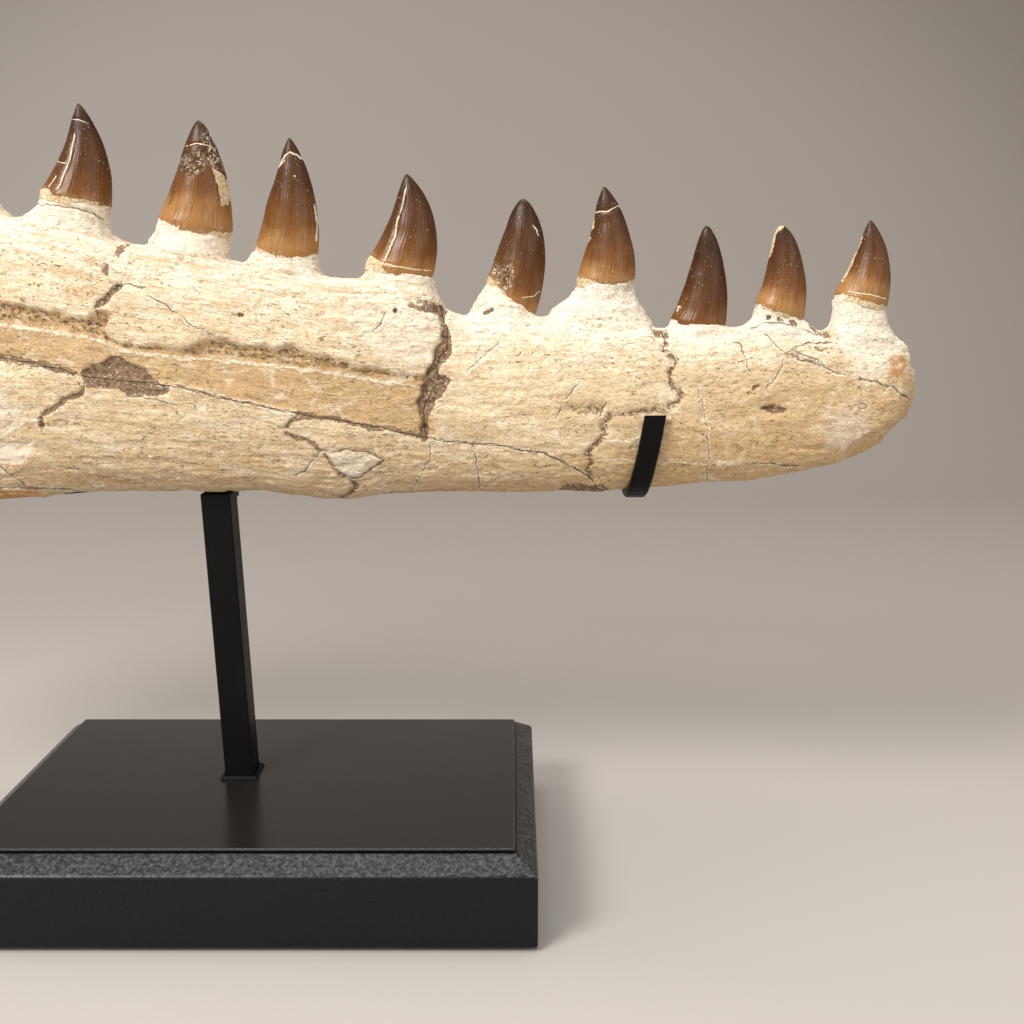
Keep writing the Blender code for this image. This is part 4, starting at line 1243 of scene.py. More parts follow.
        Patch(Fill.CHALK, ((88, 240.4), (94.4, 252), (104, 250), (116, 241), (104, 236.6)), 0, 2.2, 0.6),
        Patch(Fill.CHALK, ((171, 240), (185, 236), (198, 238), (198, 232), (171, 232)), 0, 2, 0.5),
        Patch(Fill.CHALK, ((236, 204), (244, 207), (254, 201), (246, 186), (236, 190)), 0, 5, 0.35),
        Patch(Fill.CHALK, ((42, 246), (62, 248), (77, 242), (76, 226), (66, 222), (48, 232)), 0, 3, 0.45),
        Patch(Fill.CHALK, ((34, 187), (41, 189), (55, 184.5), (46.5, 178), (40.5, 176.8)), 0, 1, 0.55),
        Patch(Fill.CHALK, ((-120, 236), (-100, 214), (-84, 205), (-98, 194), (-120, 196)), 0, 4, 0.4),
        Patch(Fill.BONE, ((246, 190), (250.2, 192.6), (256.3, 196.6), (264.1, 198.4), (270.5, 200),
            (266, 190), (258, 182), (246, 178)), 1.5, 0.7, 1, 0.8),
        Patch(Fill.BONE, ((34, 186.2), (41.1, 188.4), (50, 186.4), (54.6, 184.2), (50.6, 181.6),
            (46.3, 178.6), (41.2, 177.4), (37.6, 179.4), (35, 183.4)), -0.5, 0.8, 1, 0.2),
        Patch(Fill.BONE, ((41, 245), (50, 244.4), (54, 240.6), (50.6, 236), (42, 238)), 0.5, 2.4, 1, 0.3),
    )
    # The nerve openings and the larger pits of the inner face, then the row along the outer face.
    hollows: tuple[Hollow, ...] = (
        Hollow((214.4, 205.7), (11, 5), 1.6, -0.12),
        Hollow((213.6, 205), (6, 1.7), 2, -0.1, 0.8),
        Hollow((205.8, 214.2), (1.6, 1), 1.2, 0.5, 0.7),
        Hollow((156.6, 211), (1.6, 1.2), 1, 0.4, 0.3),
        Hollow((157.6, 209), (4, 3), 0.5),
        Hollow((-80.2, 199.6), (1.7, 1.3), 1.8, 0, 1),
        Hollow((0.2, 242.6), (1.4, 1.1), 1.6, 0, 1),
        Hollow((61, 244.2), (1.1, 1), 1.4, 0, 1),
        Hollow((-44, 258), (24, 9), 0.8),
        Hollow((212, 241.6), (1.5, 1.3), 1.3, 0, 0.8),
        Hollow((216.6, 240.2), (2, 1.3), 1.1, -0.4, 0.7),
        Hollow((222.4, 239.4), (2.2, 1.2), 1, -0.3, 0.7),
        Hollow((226, 241.2), (1.4, 1), 1.1, 0, 0.8),
        Hollow((231, 229), (6, 1.3), 0.9, -0.35, 0.4),
        Hollow((184, 194.6), (2.6, 1.4), 0.4, 0.6),
        Hollow((103, 262), (2, 2.4), 0.4),
        Hollow((98, 243.6), (2.4, 1.5), 0.9, 0.4, 0.6),
    ) + tuple(
        Hollow((x, 222.0 - 0.07 * x + 3.0 * math.sin(x)), (4.2, 2.1), 3.2, -0.1, 1, True)
        for x in (-236, -176, -122, -70, -22, 26, 70, 112, 150, 186, 216, 240))


@dataclass(frozen=True)
class Lumps:
    """One layer of the bone's relief: the size and height of its lumps, and where they begin and end."""

    size: Triple
    seed: int
    layers: int
    height: float
    low: float = 0.0
    high: float = 1.0


@dataclass
class BoneSurface:
    """Works out the relief and the colour values of the bone from the lines on its faces."""

    form: JawForm = field(default_factory=JawForm)
    face: InnerFace = field(default_factory=InnerFace)
    crack_reach: float = 1.4
    ragged: float = 0.55
    wall_depth: float = 9.0
    hind_end: float = -276.0
    # Painted shade in the recessed band, and how much darker the front is.
    band_shade: float = 1.15
    front_darkening: float = 0.62
    level_from: float = 60.0
    setback: float = 0.12
    swells: tuple[Lumps, ...] = (Lumps((60.0, 40.0, 26.0), 41, 2, 0.7),
                                 Lumps((18.0, 8.0, 3.2), 47, 2, 0.26),
                                 Lumps((7.0, 3.0, 1.7), 53, 2, 0.15))
    flakes: tuple[Lumps, ...] = (Lumps((11.0, 7.0, 4.2), 59, 3, -0.42, 0.30, 0.42),
                                 Lumps((9.0, 6.0, 3.6), 83, 3, 0.28, 0.40, 0.52),
                                 Lumps((3.6, 2.4, 2.0), 89, 1, -0.42, 0.5, 0.8))

    def near_side(self, points: np.ndarray) -> np.ndarray:
        """1 on the inner face and the front of the roots, 0 on the outer face, eased between."""
        return smooth_step(self.form.middle.at(points[:, 0]) - points[:, 1], 0.0, 5.0)

    def outward(self, points: np.ndarray) -> np.ndarray:
        """The direction straight out of the smooth bone at some points near its surface.

        Args:
            points: An (n, 3) array.

        Returns:
            An (n, 3) array of unit vectors.
        """
        x, y, z = points.T
        step = 0.5
        side = np.where(y < self.form.middle.at(x), -1.0, 1.0)
        slope_x = (self.form.half_width(x + step, z) - self.form.half_width(x - step, z)) / (2 * step)
        slope_z = (self.form.half_width(x, z + step) - self.form.half_width(x, z - step)) / (2 * step)
        out = np.stack([-slope_x, side, -slope_z], axis=1)
        return out / np.linalg.norm(out, axis=1)[:, None]

    def depth_inside(self, points: np.ndarray) -> np.ndarray:
        """How far points lie inside the smooth bone, measured in Y, and 0 above its margin."""
        x, y, z = points.T
        depth = self.form.half_width(x, z) - np.abs(y - self.form.middle.at(x))
        return np.where(z > self.form.top.at(x) - 1.0, 0.0, np.maximum(depth, 0.0))

    def warped(self, points: np.ndarray) -> np.ndarray:
        """X and Z of the points, shaken a little so that the lines drawn with them are ragged."""
        places = points[:, [0, 2]].copy()
        flat = points * np.array([1.0, 0.0, 1.0])
        places[:, 0] += layered_noise(flat, (3.4, 3.4, 3.4), 11, 2) * self.ragged
        places[:, 1] += layered_noise(flat, (3.4, 3.4, 3.4), 23, 2) * self.ragged
        return places

    def along_grain(self, points: np.ndarray) -> np.ndarray:
        """Places measured along the bone's fibres, which follow its two edges.

        Args:
            points: An (n, 3) array.

        Returns:
            X, Y and, behind where the edges run level, the height that the point would have there.
        """
        x, y, z = points.T
        low, high = self.form.low.at(x), self.form.top.at(x)
        level_low, level_high = self.form.low.at(self.level_from), self.form.top.at(self.level_from)
        level_z = level_low + (z - low) / (high - low) * (level_high - level_low)
        return np.stack([x, y, np.where(x < self.level_from, level_z, z)], axis=1)

    def crack_values(self, places: np.ndarray, cracks: tuple[Crack, ...],
                     sides: np.ndarray) -> dict[str, np.ndarray]:
        """The nearest crack to each place.

        Args:
            places: An (n, 2) array of X and Z.
            cracks: The cracks.
            sides: How far each place belongs to the face that the cracks are on.

        Returns:
            The signed distance to the nearest open crack, its half width there, the depth that all the
            cracks cut, and how much rock fills them.
        """
        values = {"distance": np.full(len(places), 9.0), "width": np.zeros(len(places)),
                  "depth": np.zeros(len(places)), "rock": np.zeros(len(places))}
        distance, width, depth, rock = values.values()
        for crack in cracks:
            line = np.array(crack.line, float)
            reach = crack.width + self.crack_reach
            near = np.flatnonzero(near_box(places, line, reach) & (sides > 0.5))
            if not len(near):
                continue
            off, along = line_distance(places[near], line)
            ends = smooth_step(along, 0.0, 0.06) * smooth_step(along, 1.0, 0.92)
            cut = crack.depth * smooth_step(np.abs(off), crack.width + 0.7, crack.width * 0.35) * ends
            depth[near] = np.where(np.abs(cut) > np.abs(depth[near]), cut, depth[near])
            if crack.rock:
                filled = crack.rock * smooth_step(np.abs(off), crack.width + 0.6, crack.width - 0.5)
                rock[near] = np.maximum(rock[near], filled * ends)
                continue
            half = crack.width * (0.25 + 0.75 * ends)
            closer = (np.abs(off) - half < np.abs(distance[near]) - width[near]) & (np.abs(off) < reach)
            closer &= (along > 0.0) & (along < 1.0)
            distance[near[closer]] = off[closer]
            width[near[closer]] = half[closer]
        return values

    def fill_values(self, points: np.ndarray, places: np.ndarray,
                    sides: np.ndarray) -> tuple[dict[str, np.ndarray], np.ndarray]:
        """The patches at each point.

        Args:
            points: An (n, 3) array.
            places: Their X and Z.
            sides: How far each one belongs to the inner face.

        Returns:
            The strength of each fill by its name, and the depth that the patches cut.
        """
        values = {fill.value: np.zeros(len(points)) for fill in Fill}
        depth = np.zeros(len(points))
        crumbs = layered_noise(points, (2.6, 2.6, 2.0), 31, 3)
        for patch in self.face.patches:
            outline = np.array(patch.outline, float)
            near = np.flatnonzero(near_box(places, outline, patch.soft + 1.0) & (sides > 0.02))
            if not len(near):
                continue
            inside = smooth_step(outline_distance(places[near], outline), patch.soft, -patch.soft)
            inside = inside * sides[near]
            held = values[patch.fill.value]
            held[near] = np.maximum(held[near], inside * patch.strength)
            cut = inside * (patch.depth + patch.crumble * crumbs[near])
            deeper = np.abs(cut) > np.abs(depth[near])
            depth[near[deeper]] = cut[deeper]
        return values, depth

    def band_depth(self, places: np.ndarray, sides: np.ndarray) -> np.ndarray:
        """How far the band between the ledge and the splenial is set back."""
        x, z = places.T
        top = np.interp(x, *np.array(self.face.ledge).T)
        low = np.interp(x, *np.array(self.face.splenial).T)
        inside = smooth_step(top - z, -0.6, 2.4) * smooth_step(z - low, -0.5, 2.0)
        return inside * smooth_step(x, self.face.band_end + 2.0, self.face.band_end - 3.0) * sides \
            * self.face.band_depth

    def hollow_values(self, places: np.ndarray, sides: np.ndarray) -> tuple[np.ndarray, np.ndarray]:
        """The hollows at each place.

        Args:
            places: An (n, 2) array of X and Z.
            sides: How far each place belongs to the inner face.

        Returns:
            The depth that they cut, and how much dark rock fills them.
        """
        depth = np.zeros(len(places))
        rock = np.zeros(len(places))
        for hollow in self.face.hollows:
            run, rise = places[:, 0] - hollow.middle[0], places[:, 1] - hollow.middle[1]
            rise = rise - hollow.slope * run
            off = np.sqrt((run / hollow.half[0]) ** 2 + (rise / hollow.half[1]) ** 2)
            share = smooth_step(off, 1.15, 0.25) * ((1.0 - sides) if hollow.far_side else sides)
            depth += hollow.depth * share
            rock = np.maximum(rock, hollow.rock * smooth_step(off, 1.0, 0.7) * (share > 0))
        return depth, rock

    def relief(self, points: np.ndarray) -> tuple[np.ndarray, np.ndarray]:
        """How far each point moves: into the smooth bone, and out along its own normal.

        Args:
            points: An (n, 3) array of the smooth bone's points.

        Returns:
            The inward and the outward moves.
        """
        places = self.warped(points)
        sides = self.near_side(points)
        depth = self.fill_values(points, places, sides)[1]
        crack = self.crack_values(places, self.face.cracks, sides)["depth"]
        far = self.crack_values(places, self.face.far_cracks, 1.0 - sides)["depth"]
        vein = self.crack_values(places, self.face.veins, sides)["depth"]
        hollow = self.hollow_values(places, sides)[0]
        inward = depth + np.maximum(crack, far) * 0.8 + vein + hollow + self.band_depth(places, sides)
        grain = self.along_grain(points)
        out = np.zeros(len(points))
        for swell in self.swells:
            out += layered_noise(grain, swell.size, swell.seed, swell.layers) * swell.height
        for flake in self.flakes:
            noise = layered_noise(grain, flake.size, flake.seed, flake.layers)
            out += smooth_step(noise, flake.low, flake.high) * flake.height
        above = smooth_step(points[:, 2] - self.form.top.at(points[:, 0]), -2.0, 4.0)
        out += above * layered_noise(points, (5.0, 5.0, 4.0), 91, 3) * 0.3
        out += self.wall(points) * layered_noise(points, (6.0, 5.0, 5.0), 97, 3) * 0.9
        return inward, out - self.setback

    def wall(self, points: np.ndarray) -> np.ndarray:
        """1 on the broken hind ends, which lie inside the smooth bone, and 0 on its skin."""
        behind = smooth_step(points[:, 0], self.hind_end + 12.0, self.hind_end)
        return smooth_step(self.depth_inside(points), 1.5, 4.0) * behind

    def dress(self, obj: bpy.types.Object) -> None:
        """Stores on a finished piece the values that its material reads.

        Args:
            obj: The piece.
        """
        points = mesh_points(obj)
        places = self.warped(points)
        sides = self.near_side(points)
        fills, _ = self.fill_values(points, places, sides)
        crack = self.crack_values(places, self.face.cracks, sides)
        far = self.crack_values(places, self.face.far_cracks, 1.0 - sides)
        vein = self.crack_values(places, self.face.veins, sides)
        rock = np.maximum(fills[Fill.ROCK.value], self.hollow_values(places, sides)[1])
        rock = np.maximum(np.maximum(rock, crack["rock"]), far["rock"])
        grain = self.along_grain(points)
        height = (points[:, 2] - self.form.low.at(points[:, 0])) / (
            self.form.top.at(points[:, 0]) - self.form.low.at(points[:, 0]))
        set_values(obj, "grain", grain)
        set_values(obj, "height", np.clip(height, 0.0, 1.0))
        set_values(obj, "rock", np.maximum(rock, self.wall(points) * 0.55))
        set_values(obj, "plaster", fills[Fill.PLASTER.value])
        set_values(obj, "stain", fills[Fill.STAIN.value])
        # Painted top light on the roots above the margin, added to the chalky patches.
        above = smooth_step(points[:, 2] - self.form.top.at(points[:, 0]), -3.0, 6.0)
        set_values(obj, "chalk_and_top_light", np.maximum(fills[Fill.CHALK.value], above * 0.55))
        # Painted shade: the recessed band is darkened in colour; the front is darker as well.
        band_shade_and_front_darkening = self.band_depth(places, sides) / self.face.band_depth * self.band_shade
        set_values(obj, "band_shade_and_front_darkening", band_shade_and_front_darkening + smooth_step(points[:, 0], 60.0, 210.0) * self.front_darkening)
        set_values(obj, "crack", crack["distance"])
        set_values(obj, "crack_width", crack["width"])
        set_values(obj, "vein", vein["distance"])
        set_values(obj, "vein_width", vein["width"])


@dataclass
class JawBones:
    """The dentary in three lengths, with the roots fused on, and the splenial."""

    form: JawForm = field(default_factory=JawForm)
    surface: BoneSurface = field(default_factory=BoneSurface)
    finish: FossilBone = field(default_factory=FossilBone)
    nodes: tuple[str, ...] = ("dentary_rear", "dentary_middle", "dentary_front", "splenial")
    voxel: float = 0.72
    most_triangles: int = 192_000
    ragged_step: float = 1.1
    ragged: float = 0.4
    hind_margin: float = 2.5
    root_sides: int = 48
    root_sunk: float = 9.0
    root_spread: float = 3.5
    flatness: float = 0.8
    near: float = -62.0
    far: float = 62.0

    def root_rings(self, tooth: Tooth) -> np.ndarray:
        """The rings of a tooth's root, from the crown's base down into the jaw.

        Args:
            tooth: The tooth.

        Returns:
            A (rings, points, 3) array.
        """
        rear, front = np.array(tooth.rear_flank), np.array(tooth.front_flank)
        shares = np.linspace(0.0, 1.0, 12)
        top_half = np.linalg.norm(np.array(tooth.front) - np.array(tooth.rear)) / 2.0
        rings = []
        for share in (*shares, 1.0):
            ends = []
            for flank in (rear, front):
                run = np.concatenate([[0.0], np.cumsum(np.linalg.norm(np.diff(flank, axis=0), axis=1))])
                at = share * run[-1]
                ends.append(np.array([np.interp(at, run, flank[:, 0]), np.interp(at, run, flank[:, 1])]))
            if len(rings) == len(shares):
                ends = [end - np.array([0.0, self.root_sunk]) for end in ends]
            centre, half = (ends[0] + ends[1]) / 2.0, (ends[1] - ends[0]) / 2.0
            width = top_half * self.flatness + self.root_spread * share**2
            y = float(self.form.middle.at(centre[0]))
            rings.append(oval_ring(centre, half, y, width, self.root_sides, 2.0))
        return np.array(rings)

    def prism(self, name: str, outline: list[Point], near: float, far: float) -> bpy.types.Object:
        """A closed helper: an outline in X and Z, from one Y to another."""
        flat = np.array(outline, float)
        rings = [np.insert(flat, 1, y, axis=1) for y in (near, far)]
        count = len(flat)
        points = [tuple(p * MM) for ring in rings for p in ring]
        faces = [tuple(range(count)), tuple(range(2 * count - 1, count - 1, -1))]
        faces += [(i, i + count, (i + 1) % count + count, (i + 1) % count) for i in range(count)]
        area = sum(a[0] * b[1] - b[0] * a[1] for a, b in zip(outline, outline[1:] + outline[:1]))
        mesh = bpy.data.meshes.new(name)
        mesh.from_pydata(points, [], [face[::-1] for face in faces] if area < 0 else faces)
        obj = bpy.data.objects.new(name, mesh)
        bpy.context.scene.collection.objects.link(obj)
        return obj

    def shaken(self, line: Line) -> list[Point]:
        """A line in small steps, each moved a little to one side or the other."""
        places = np.array(line, float)
        length = np.linalg.norm(np.diff(places, axis=0), axis=1)
        run = np.concatenate([[0.0], np.cumsum(length)])
        at = np.linspace(0.0, run[-1], int(run[-1] / self.ragged_step) + 1)
        x, z = np.interp(at, run, places[:, 0]), np.interp(at, run, places[:, 1])
        flat = np.stack([x, np.zeros(len(x)), z], axis=1)
        x = x + layered_noise(flat, (2.6, 2.6, 2.6), 101, 2) * self.ragged
        z = z + layered_noise(flat, (2.6, 2.6, 2.6), 103, 2) * self.ragged
        return list(zip(x.tolist(), z.tolist()))

    def zones(self) -> dict[str, bpy.types.Object]:
        """The helpers that part the bone, whose hind ends reach a margin behind the bone's own.

        Returns:
            One for each bone piece by its name, and the one under the splenial's edge.
        """
        face = self.surface.face
        half, margin = GAP / 2.0, self.hind_margin
        edge = self.shaken(face.splenial)
        rear, front = self.shaken(face.rear_break), self.shaken(face.front_break)
        back = [(x - half, z) for x, z in rear]
        ahead = [(x + half, z) for x, z in rear]
        front_back = [(x - half, z) for x, z in front]
        front_ahead = [(x + half, z) for x, z in front]
        hind = [(x - margin, z) for x, z in face.dentary_rear]
        inside = [(150.0, 139.0), *[(x - margin, z) for x, z in face.splenial_rear[::-1]],
                  *[point for point in edge if point[0] > face.splenial_rear[0][0]]]
        return {
            "dentary_rear": self.prism("rear_zone", [*hind, *back[::-1]], self.near, self.far),
            "dentary_middle": self.prism("middle_zone", [*ahead, *front_back[::-1]], self.near, self.far),
            "dentary_front": self.prism("front_zone", [*front_ahead, (320, 140), (320, 330)], self.near,
                                        self.far),
            "splenial": self.prism("splenial_zone", [(x, z - GAP) for x, z in inside], self.near + 1.0,
                                   face.splenial_inner_y - GAP),
            "under": self.prism("under_zone", [(150, 140), (-320, 140), *edge], self.near + 2.0,
                                face.splenial_inner_y),
        }

    def whole_body(self) -> bpy.types.Object:
        """All the bone in one closed piece, with its broken hind ends.

        Returns:
            The piece, still smooth.
        """
        body = closed_object("bone_body", self.form.rings())
        for number, tooth in enumerate(TEETH, 1):
            root = closed_object(f"root_{number:02d}", self.root_rings(tooth))
            combine(body, root, "UNION")
            bpy.data.objects.remove(root)
        face = self.surface.face
        plate = bpy.data.objects.new("plate", body.data.copy())
        bpy.context.scene.collection.objects.link(plate)
        low_part = self.prism("low_part", [(150.0, 139.0), *face.splenial_rear[::-1], *face.splenial[1:]],
                              self.near, face.splenial_inner_y - GAP)
        combine(plate, low_part, "INTERSECT")
        dentary = self.prism("dentary", [*face.dentary_rear, (320, 150), (320, 320)], self.near, self.far)
        combine(body, dentary, "INTERSECT")
        combine(body, plate, "UNION")
        for helper in (plate, low_part, dentary):
            bpy.data.objects.remove(helper)
        return body

    def remesh(self, obj: bpy.types.Object, voxel: float) -> None:
        """Gives the piece an even mesh of small squares."""
        modifier = obj.modifiers.new("Even", "REMESH")
        modifier.mode = "VOXEL"
        modifier.voxel_size = voxel * MM
        apply_modifiers(obj)

    def soften_roots(self, obj: bpy.types.Object) -> None:
        """Rounds the corner where the roots rise out of the margin.

        Args:
            obj: The piece.
        """
        points = mesh_points(obj)
        above = points[:, 2] - self.form.top.at(points[:, 0])
        weights = smooth_step(above, -7.0, -3.0) * smooth_step(above, 8.0, 3.0)
        weights *= smooth_step(points[:, 0], 268.0, 262.0)
        group = obj.vertex_groups.new(name="margin")
        for level in range(1, 11):
            chosen = np.flatnonzero(np.round(weights * 10).astype(int) == level)
            group.add(chosen.tolist(), level / 10.0, "REPLACE")
        modifier = obj.modifiers.new("Soften", "SMOOTH")
        modifier.factor = 0.5
        modifier.iterations = 24
        modifier.vertex_group = group.name
        apply_modifiers(obj)
        obj.vertex_groups.clear()

    def carve(self, obj: bpy.types.Object) -> None:
        """Works the relief into a piece.

        Args:
            obj: The piece, with an even mesh.
        """
        points = mesh_points(obj)
        normals = mesh_normals(obj)
        inward, outward = self.surface.relief(points)
        fade = np.clip(1.0 - (self.surface.depth_inside(points) - 0.8) / self.surface.wall_depth, 0.0, 1.0)
        in_root = smooth_step(points[:, 2] - self.form.top.at(points[:, 0]), -2.0, 2.0)[:, None]
        out = self.surface.outward(points) * (1.0 - in_root) + normals * in_root
        moved = points - out * (inward * fade)[:, None] + normals * outward[:, None]
        low, high = (np.array(corner) / MM for corner in CAD_BOX)
        set_points(obj, np.clip(moved, low, high))

    def thin(self, obj: bpy.types.Object) -> None:
        """Brings a piece down to no more than most_triangles triangles, thinning mostly its outer face.

        Args:
            obj: The piece.
        """
        count = sum(len(face.vertices) - 2 for face in obj.data.polygons)
        if count <= self.most_triangles:
            return
        group = obj.vertex_groups.new(name="outer")
        outer = np.flatnonzero(self.surface.near_side(mesh_points(obj)) < 0.1)
        group.add(outer.tolist(), 1.0, "REPLACE")
        modifier = obj.modifiers.new("Thin", "DECIMATE")
        modifier.ratio = self.most_triangles / count
        modifier.vertex_group = group.name
        modifier.vertex_group_factor = 1.0
        apply_modifiers(obj)
        obj.vertex_groups.clear()

    def build(self) -> list[bpy.types.Object]:
        """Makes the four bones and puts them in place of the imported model's.

        Returns:
            The pieces.
        """
        body = self.whole_body()
        self.remesh(body, self.voxel)
        LOG.info("bone: %d faces", len(body.data.polygons))
        self.soften_roots(body)
        self.carve(body)
        zones = self.zones()
        material = self.finish.material()
        pieces = []
        for name in self.nodes:
            piece = bpy.data.objects.new(f"{name}_bone", body.data.copy())
            bpy.context.scene.collection.objects.link(piece)
            combine(piece, zones[name], "INTERSECT")
            if name != "splenial":
                combine(piece, zones["under"], "DIFFERENCE")
            self.thin(piece)
            self.surface.dress(piece)
            piece.data.shade_smooth()
            piece.data.set_sharp_from_angle(angle=math.radians(62.0))
            piece.data.materials.clear()
            piece.data.materials.append(material)
            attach(piece, "root")
            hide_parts(name)
            LOG.info("%s: %d faces", piece.name, len(piece.data.polygons))
            pieces.append(piece)
        for helper in (body, *zones.values()):
            bpy.data.objects.remove(helper)
        return pieces


@dataclass
class Crown:
    """One tooth crown: a curved cone with a keel in front and behind, fine stripes and its own damage."""

    tooth: Tooth
    number: int
    sides: int = 132
    rows: int = 112
    sunk: float = 0.13
    keel: float = 1.75
    flatness: float = 0.8
    enamel_step: float = 0.12
    stripe_depth: float = 0.07
    stripe_count: int = 46

    def rings(self) -> tuple[np.ndarray, np.ndarray]:
        """The rings of the crown, from a little under its base line to its point.

        Returns:
            A (rings, points, 3) array, and how far up the crown each ring is.
        """
        tooth = self.tooth
        rear, front, tip = (np.array(p, float) for p in (tooth.rear, tooth.front, tooth.tip))
        base = (rear + front) / 2.0
        control = (base + tip) / 2.0 + np.array([tooth.bow, 0.0])
        half = (front - rear) / 2.0
        radius = float(np.linalg.norm(half))
        flat = np.array([radius, 0.0])
        y = float(FORM.middle.at(base[0]))
        up = np.linspace(0.0, 1.0, self.rows)
        levels = np.concatenate([np.linspace(-self.sunk, 0.0, 10)[:-1], 1.0 - (1.0 - up) ** 1.5])
        levels = np.minimum(levels, 0.9985)
        rings = []
        for t in levels:
            above = max(t, 0.0)
            centre = base * (1 - t) ** 2 + control * 2 * t * (1 - t) + tip * t**2
            if t < 0:
                centre = base + (base - control) * 2.0 * -t * 0.6
            size = (1.0 - above ** tooth.taper[0]) ** tooth.taper[1] * (1.0 + 0.25 * min(t, 0.0))
            turned = half * (1 - above) ** 2 + flat * (1 - (1 - above) ** 2)
            power = self.keel + (2.0 - self.keel) * smooth_step(np.array(above), 0.12, -0.05)
            rings.append(oval_ring(centre, turned * size, y - tooth.lean * above**2,
                                   radius * self.flatness * size, self.sides, float(power)))
        return np.array(rings), levels

    def mark_values(self, points: np.ndarray, level: np.ndarray) -> dict[str, np.ndarray]:
        """The enamel's edge, the cracks and the damage at each point.

        Args:
            points: An (n, 3) array.
            level: How far up the crown each point is.

        Returns:
            The values by the names that the material reads.
        """
        marks = self.tooth.marks
        x, _, z = points.T
        places = points[:, [0, 2]] + 0.22 * np.stack([
            layered_noise(points, (1.8, 1.8, 1.8), 61, 2), layered_noise(points, (1.8, 1.8, 1.8), 67, 2)],
            axis=1)
        near = smooth_step(float(FORM.middle.at(x.mean())) - points[:, 1], -1.5, 1.0)
        edge = np.array(marks.edge, float)
        ragged = 0.5 * layered_noise(points, (3.0, 3.0, 3.0), 71, 2)
        height = z - np.interp(x, edge[:, 0], edge[:, 1]) + ragged
        enamel = smooth_step(height, -0.5, 0.3)
        bare = 1.0 - enamel
        broken = np.zeros(len(points))
        for outline in marks.bare:
            bare = np.maximum(bare, near * smooth_step(outline_distance(places, np.array(outline, float)),
                                                       0.3, -0.3))
        for outline in marks.broken:
            broken = np.maximum(broken, near * smooth_step(
                outline_distance(places, np.array(outline, float)), 0.6, -0.6))
        if marks.band:
            band = smooth_step(height, marks.band, marks.band * 0.3) * 0.44
            bare = np.maximum(bare, band)
        crack = BoneSurface(crack_reach=1.0).crack_values(places, marks.cracks, near)
        return {"bare": bare, "broken": broken, "crack": crack["distance"], "crack_width": crack["width"],
                "cut": crack["depth"], "enamel": enamel, "level": level}

    def build(self, material: bpy.types.Material) -> bpy.types.Object:
        """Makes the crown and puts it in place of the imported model's.

        Args:
            material: The enamel.

        Returns:
            The piece.
        """
        rings, levels = self.rings()
        points, faces = loft(rings)
        centres = np.repeat(rings.mean(axis=1), self.sides, axis=0)
        away = rings.reshape(-1, 3) - centres
        away /= np.maximum(np.linalg.norm(away, axis=1), 1e-6)[:, None]
        level = np.repeat(np.maximum(levels, 0.0), self.sides)
        turn = np.tile(np.linspace(0.0, 2.0 * math.pi, self.sides, endpoint=False), len(levels))
        body = points[:-2]
        values = self.mark_values(body, level)
        fade = smooth_step(level, 0.97, 0.8)
        stripe = np.sin(turn * self.stripe_count + 2.0 * lattice_noise(body / 5.0, self.number))
        move = stripe * self.stripe_depth * self.tooth.marks.stripes * fade
        move += layered_noise(body, (9.0, 9.0, 12.0), 73 + self.number, 2) * 0.28 * fade
        move += values["enamel"] * self.enamel_step - values["cut"] * fade
        move -= values["broken"] * (0.35 + 0.4 * np.abs(layered_noise(body, (2.0, 2.0, 2.0), 79, 2)))
        if self.tooth.marks.chipped:
            rear = smooth_step(-np.cos(turn), 0.93, 0.995) * smooth_step(level, 0.12, 0.2) * fade
            bite = np.abs(lattice_noise(body / 1.5, 83)) * self.tooth.marks.chipped
            move -= rear * bite * 0.9
            values["bare"] = np.maximum(values["bare"], rear * 0.9)
        points[:-2] = body + away * move[:, None]
        faces = faces[:, ::-1] if self.inside_out(points, faces) else faces
        piece = make_mesh_object(f"tooth_{self.number:02d}_crown", points, faces)
        ends = {name: np.append(value, value[[0, -1]]) for name, value in values.items()}
        set_values(piece, "grain", points)
        turned = np.append(turn, [0.0, 0.0])
        around = np.stack([np.cos(turned) * 8.0, np.append(level, [0.0, 1.0]) * 30.0,
                           np.sin(turned) * 8.0], axis=1)
        set_values(piece, "stripes", around)
        for name in ("bare", "broken", "crack", "crack_width", "level"):
            set_values(piece, name, ends[name])
        set_values(piece, "darkness", np.full(len(points), self.tooth.marks.darkness))
        piece.data.shade_smooth()
        piece.data.materials.append(material)
        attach(piece, "root")
        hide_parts(f"tooth_{self.number:02d}")
        LOG.info("%s: %d faces", piece.name, len(faces))
        return piece

    def inside_out(self, points: np.ndarray, faces: np.ndarray) -> bool:
        """Whether the faces look inwards."""
        corners = points[faces]
        return np.einsum("ij,ij->i", corners[:, 0], np.cross(corners[:, 1], corners[:, 2])).sum() < 0


@dataclass
class Stand:
    """The base, post, bar and straps, which stay as packed and get their finishes here."""

    lacquer: BlackLacquer = field(default_factory=BlackLacquer)
    panel: BlackLacquer = field(default_factory=lambda: BlackLacquer(
        colour=(0.0135, 0.0120, 0.0112), roughness=0.20, shine=0.60))
    steel: BlackSteel = field(default_factory=BlackSteel)
    felt: BaseFelt = field(default_factory=BaseFelt)
    steel_nodes: tuple[str, ...] = ("stand_post", "stand_post_collar", "stand_spine", "stand_tab",
                                    "stand_strap_front", "stand_strap_rear")

    def dress(self) -> None:
        """Gives each of the stand's nodes its finish."""
        finishes = {"stand_felt": self.felt.material(),
                    "stand_base": self.lacquer.material("bevelled_lacquer_finish"),
                    "stand_panel": self.panel.material("panel_lacquer_finish")}
        steel = self.steel.material()
        finishes.update({name: steel for name in self.steel_nodes})
        for name, material in finishes.items():
            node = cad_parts[name]
            node.data.materials.clear()
            node.data.materials.append(material)
            LOG.info("%s: %s", name, material.name)


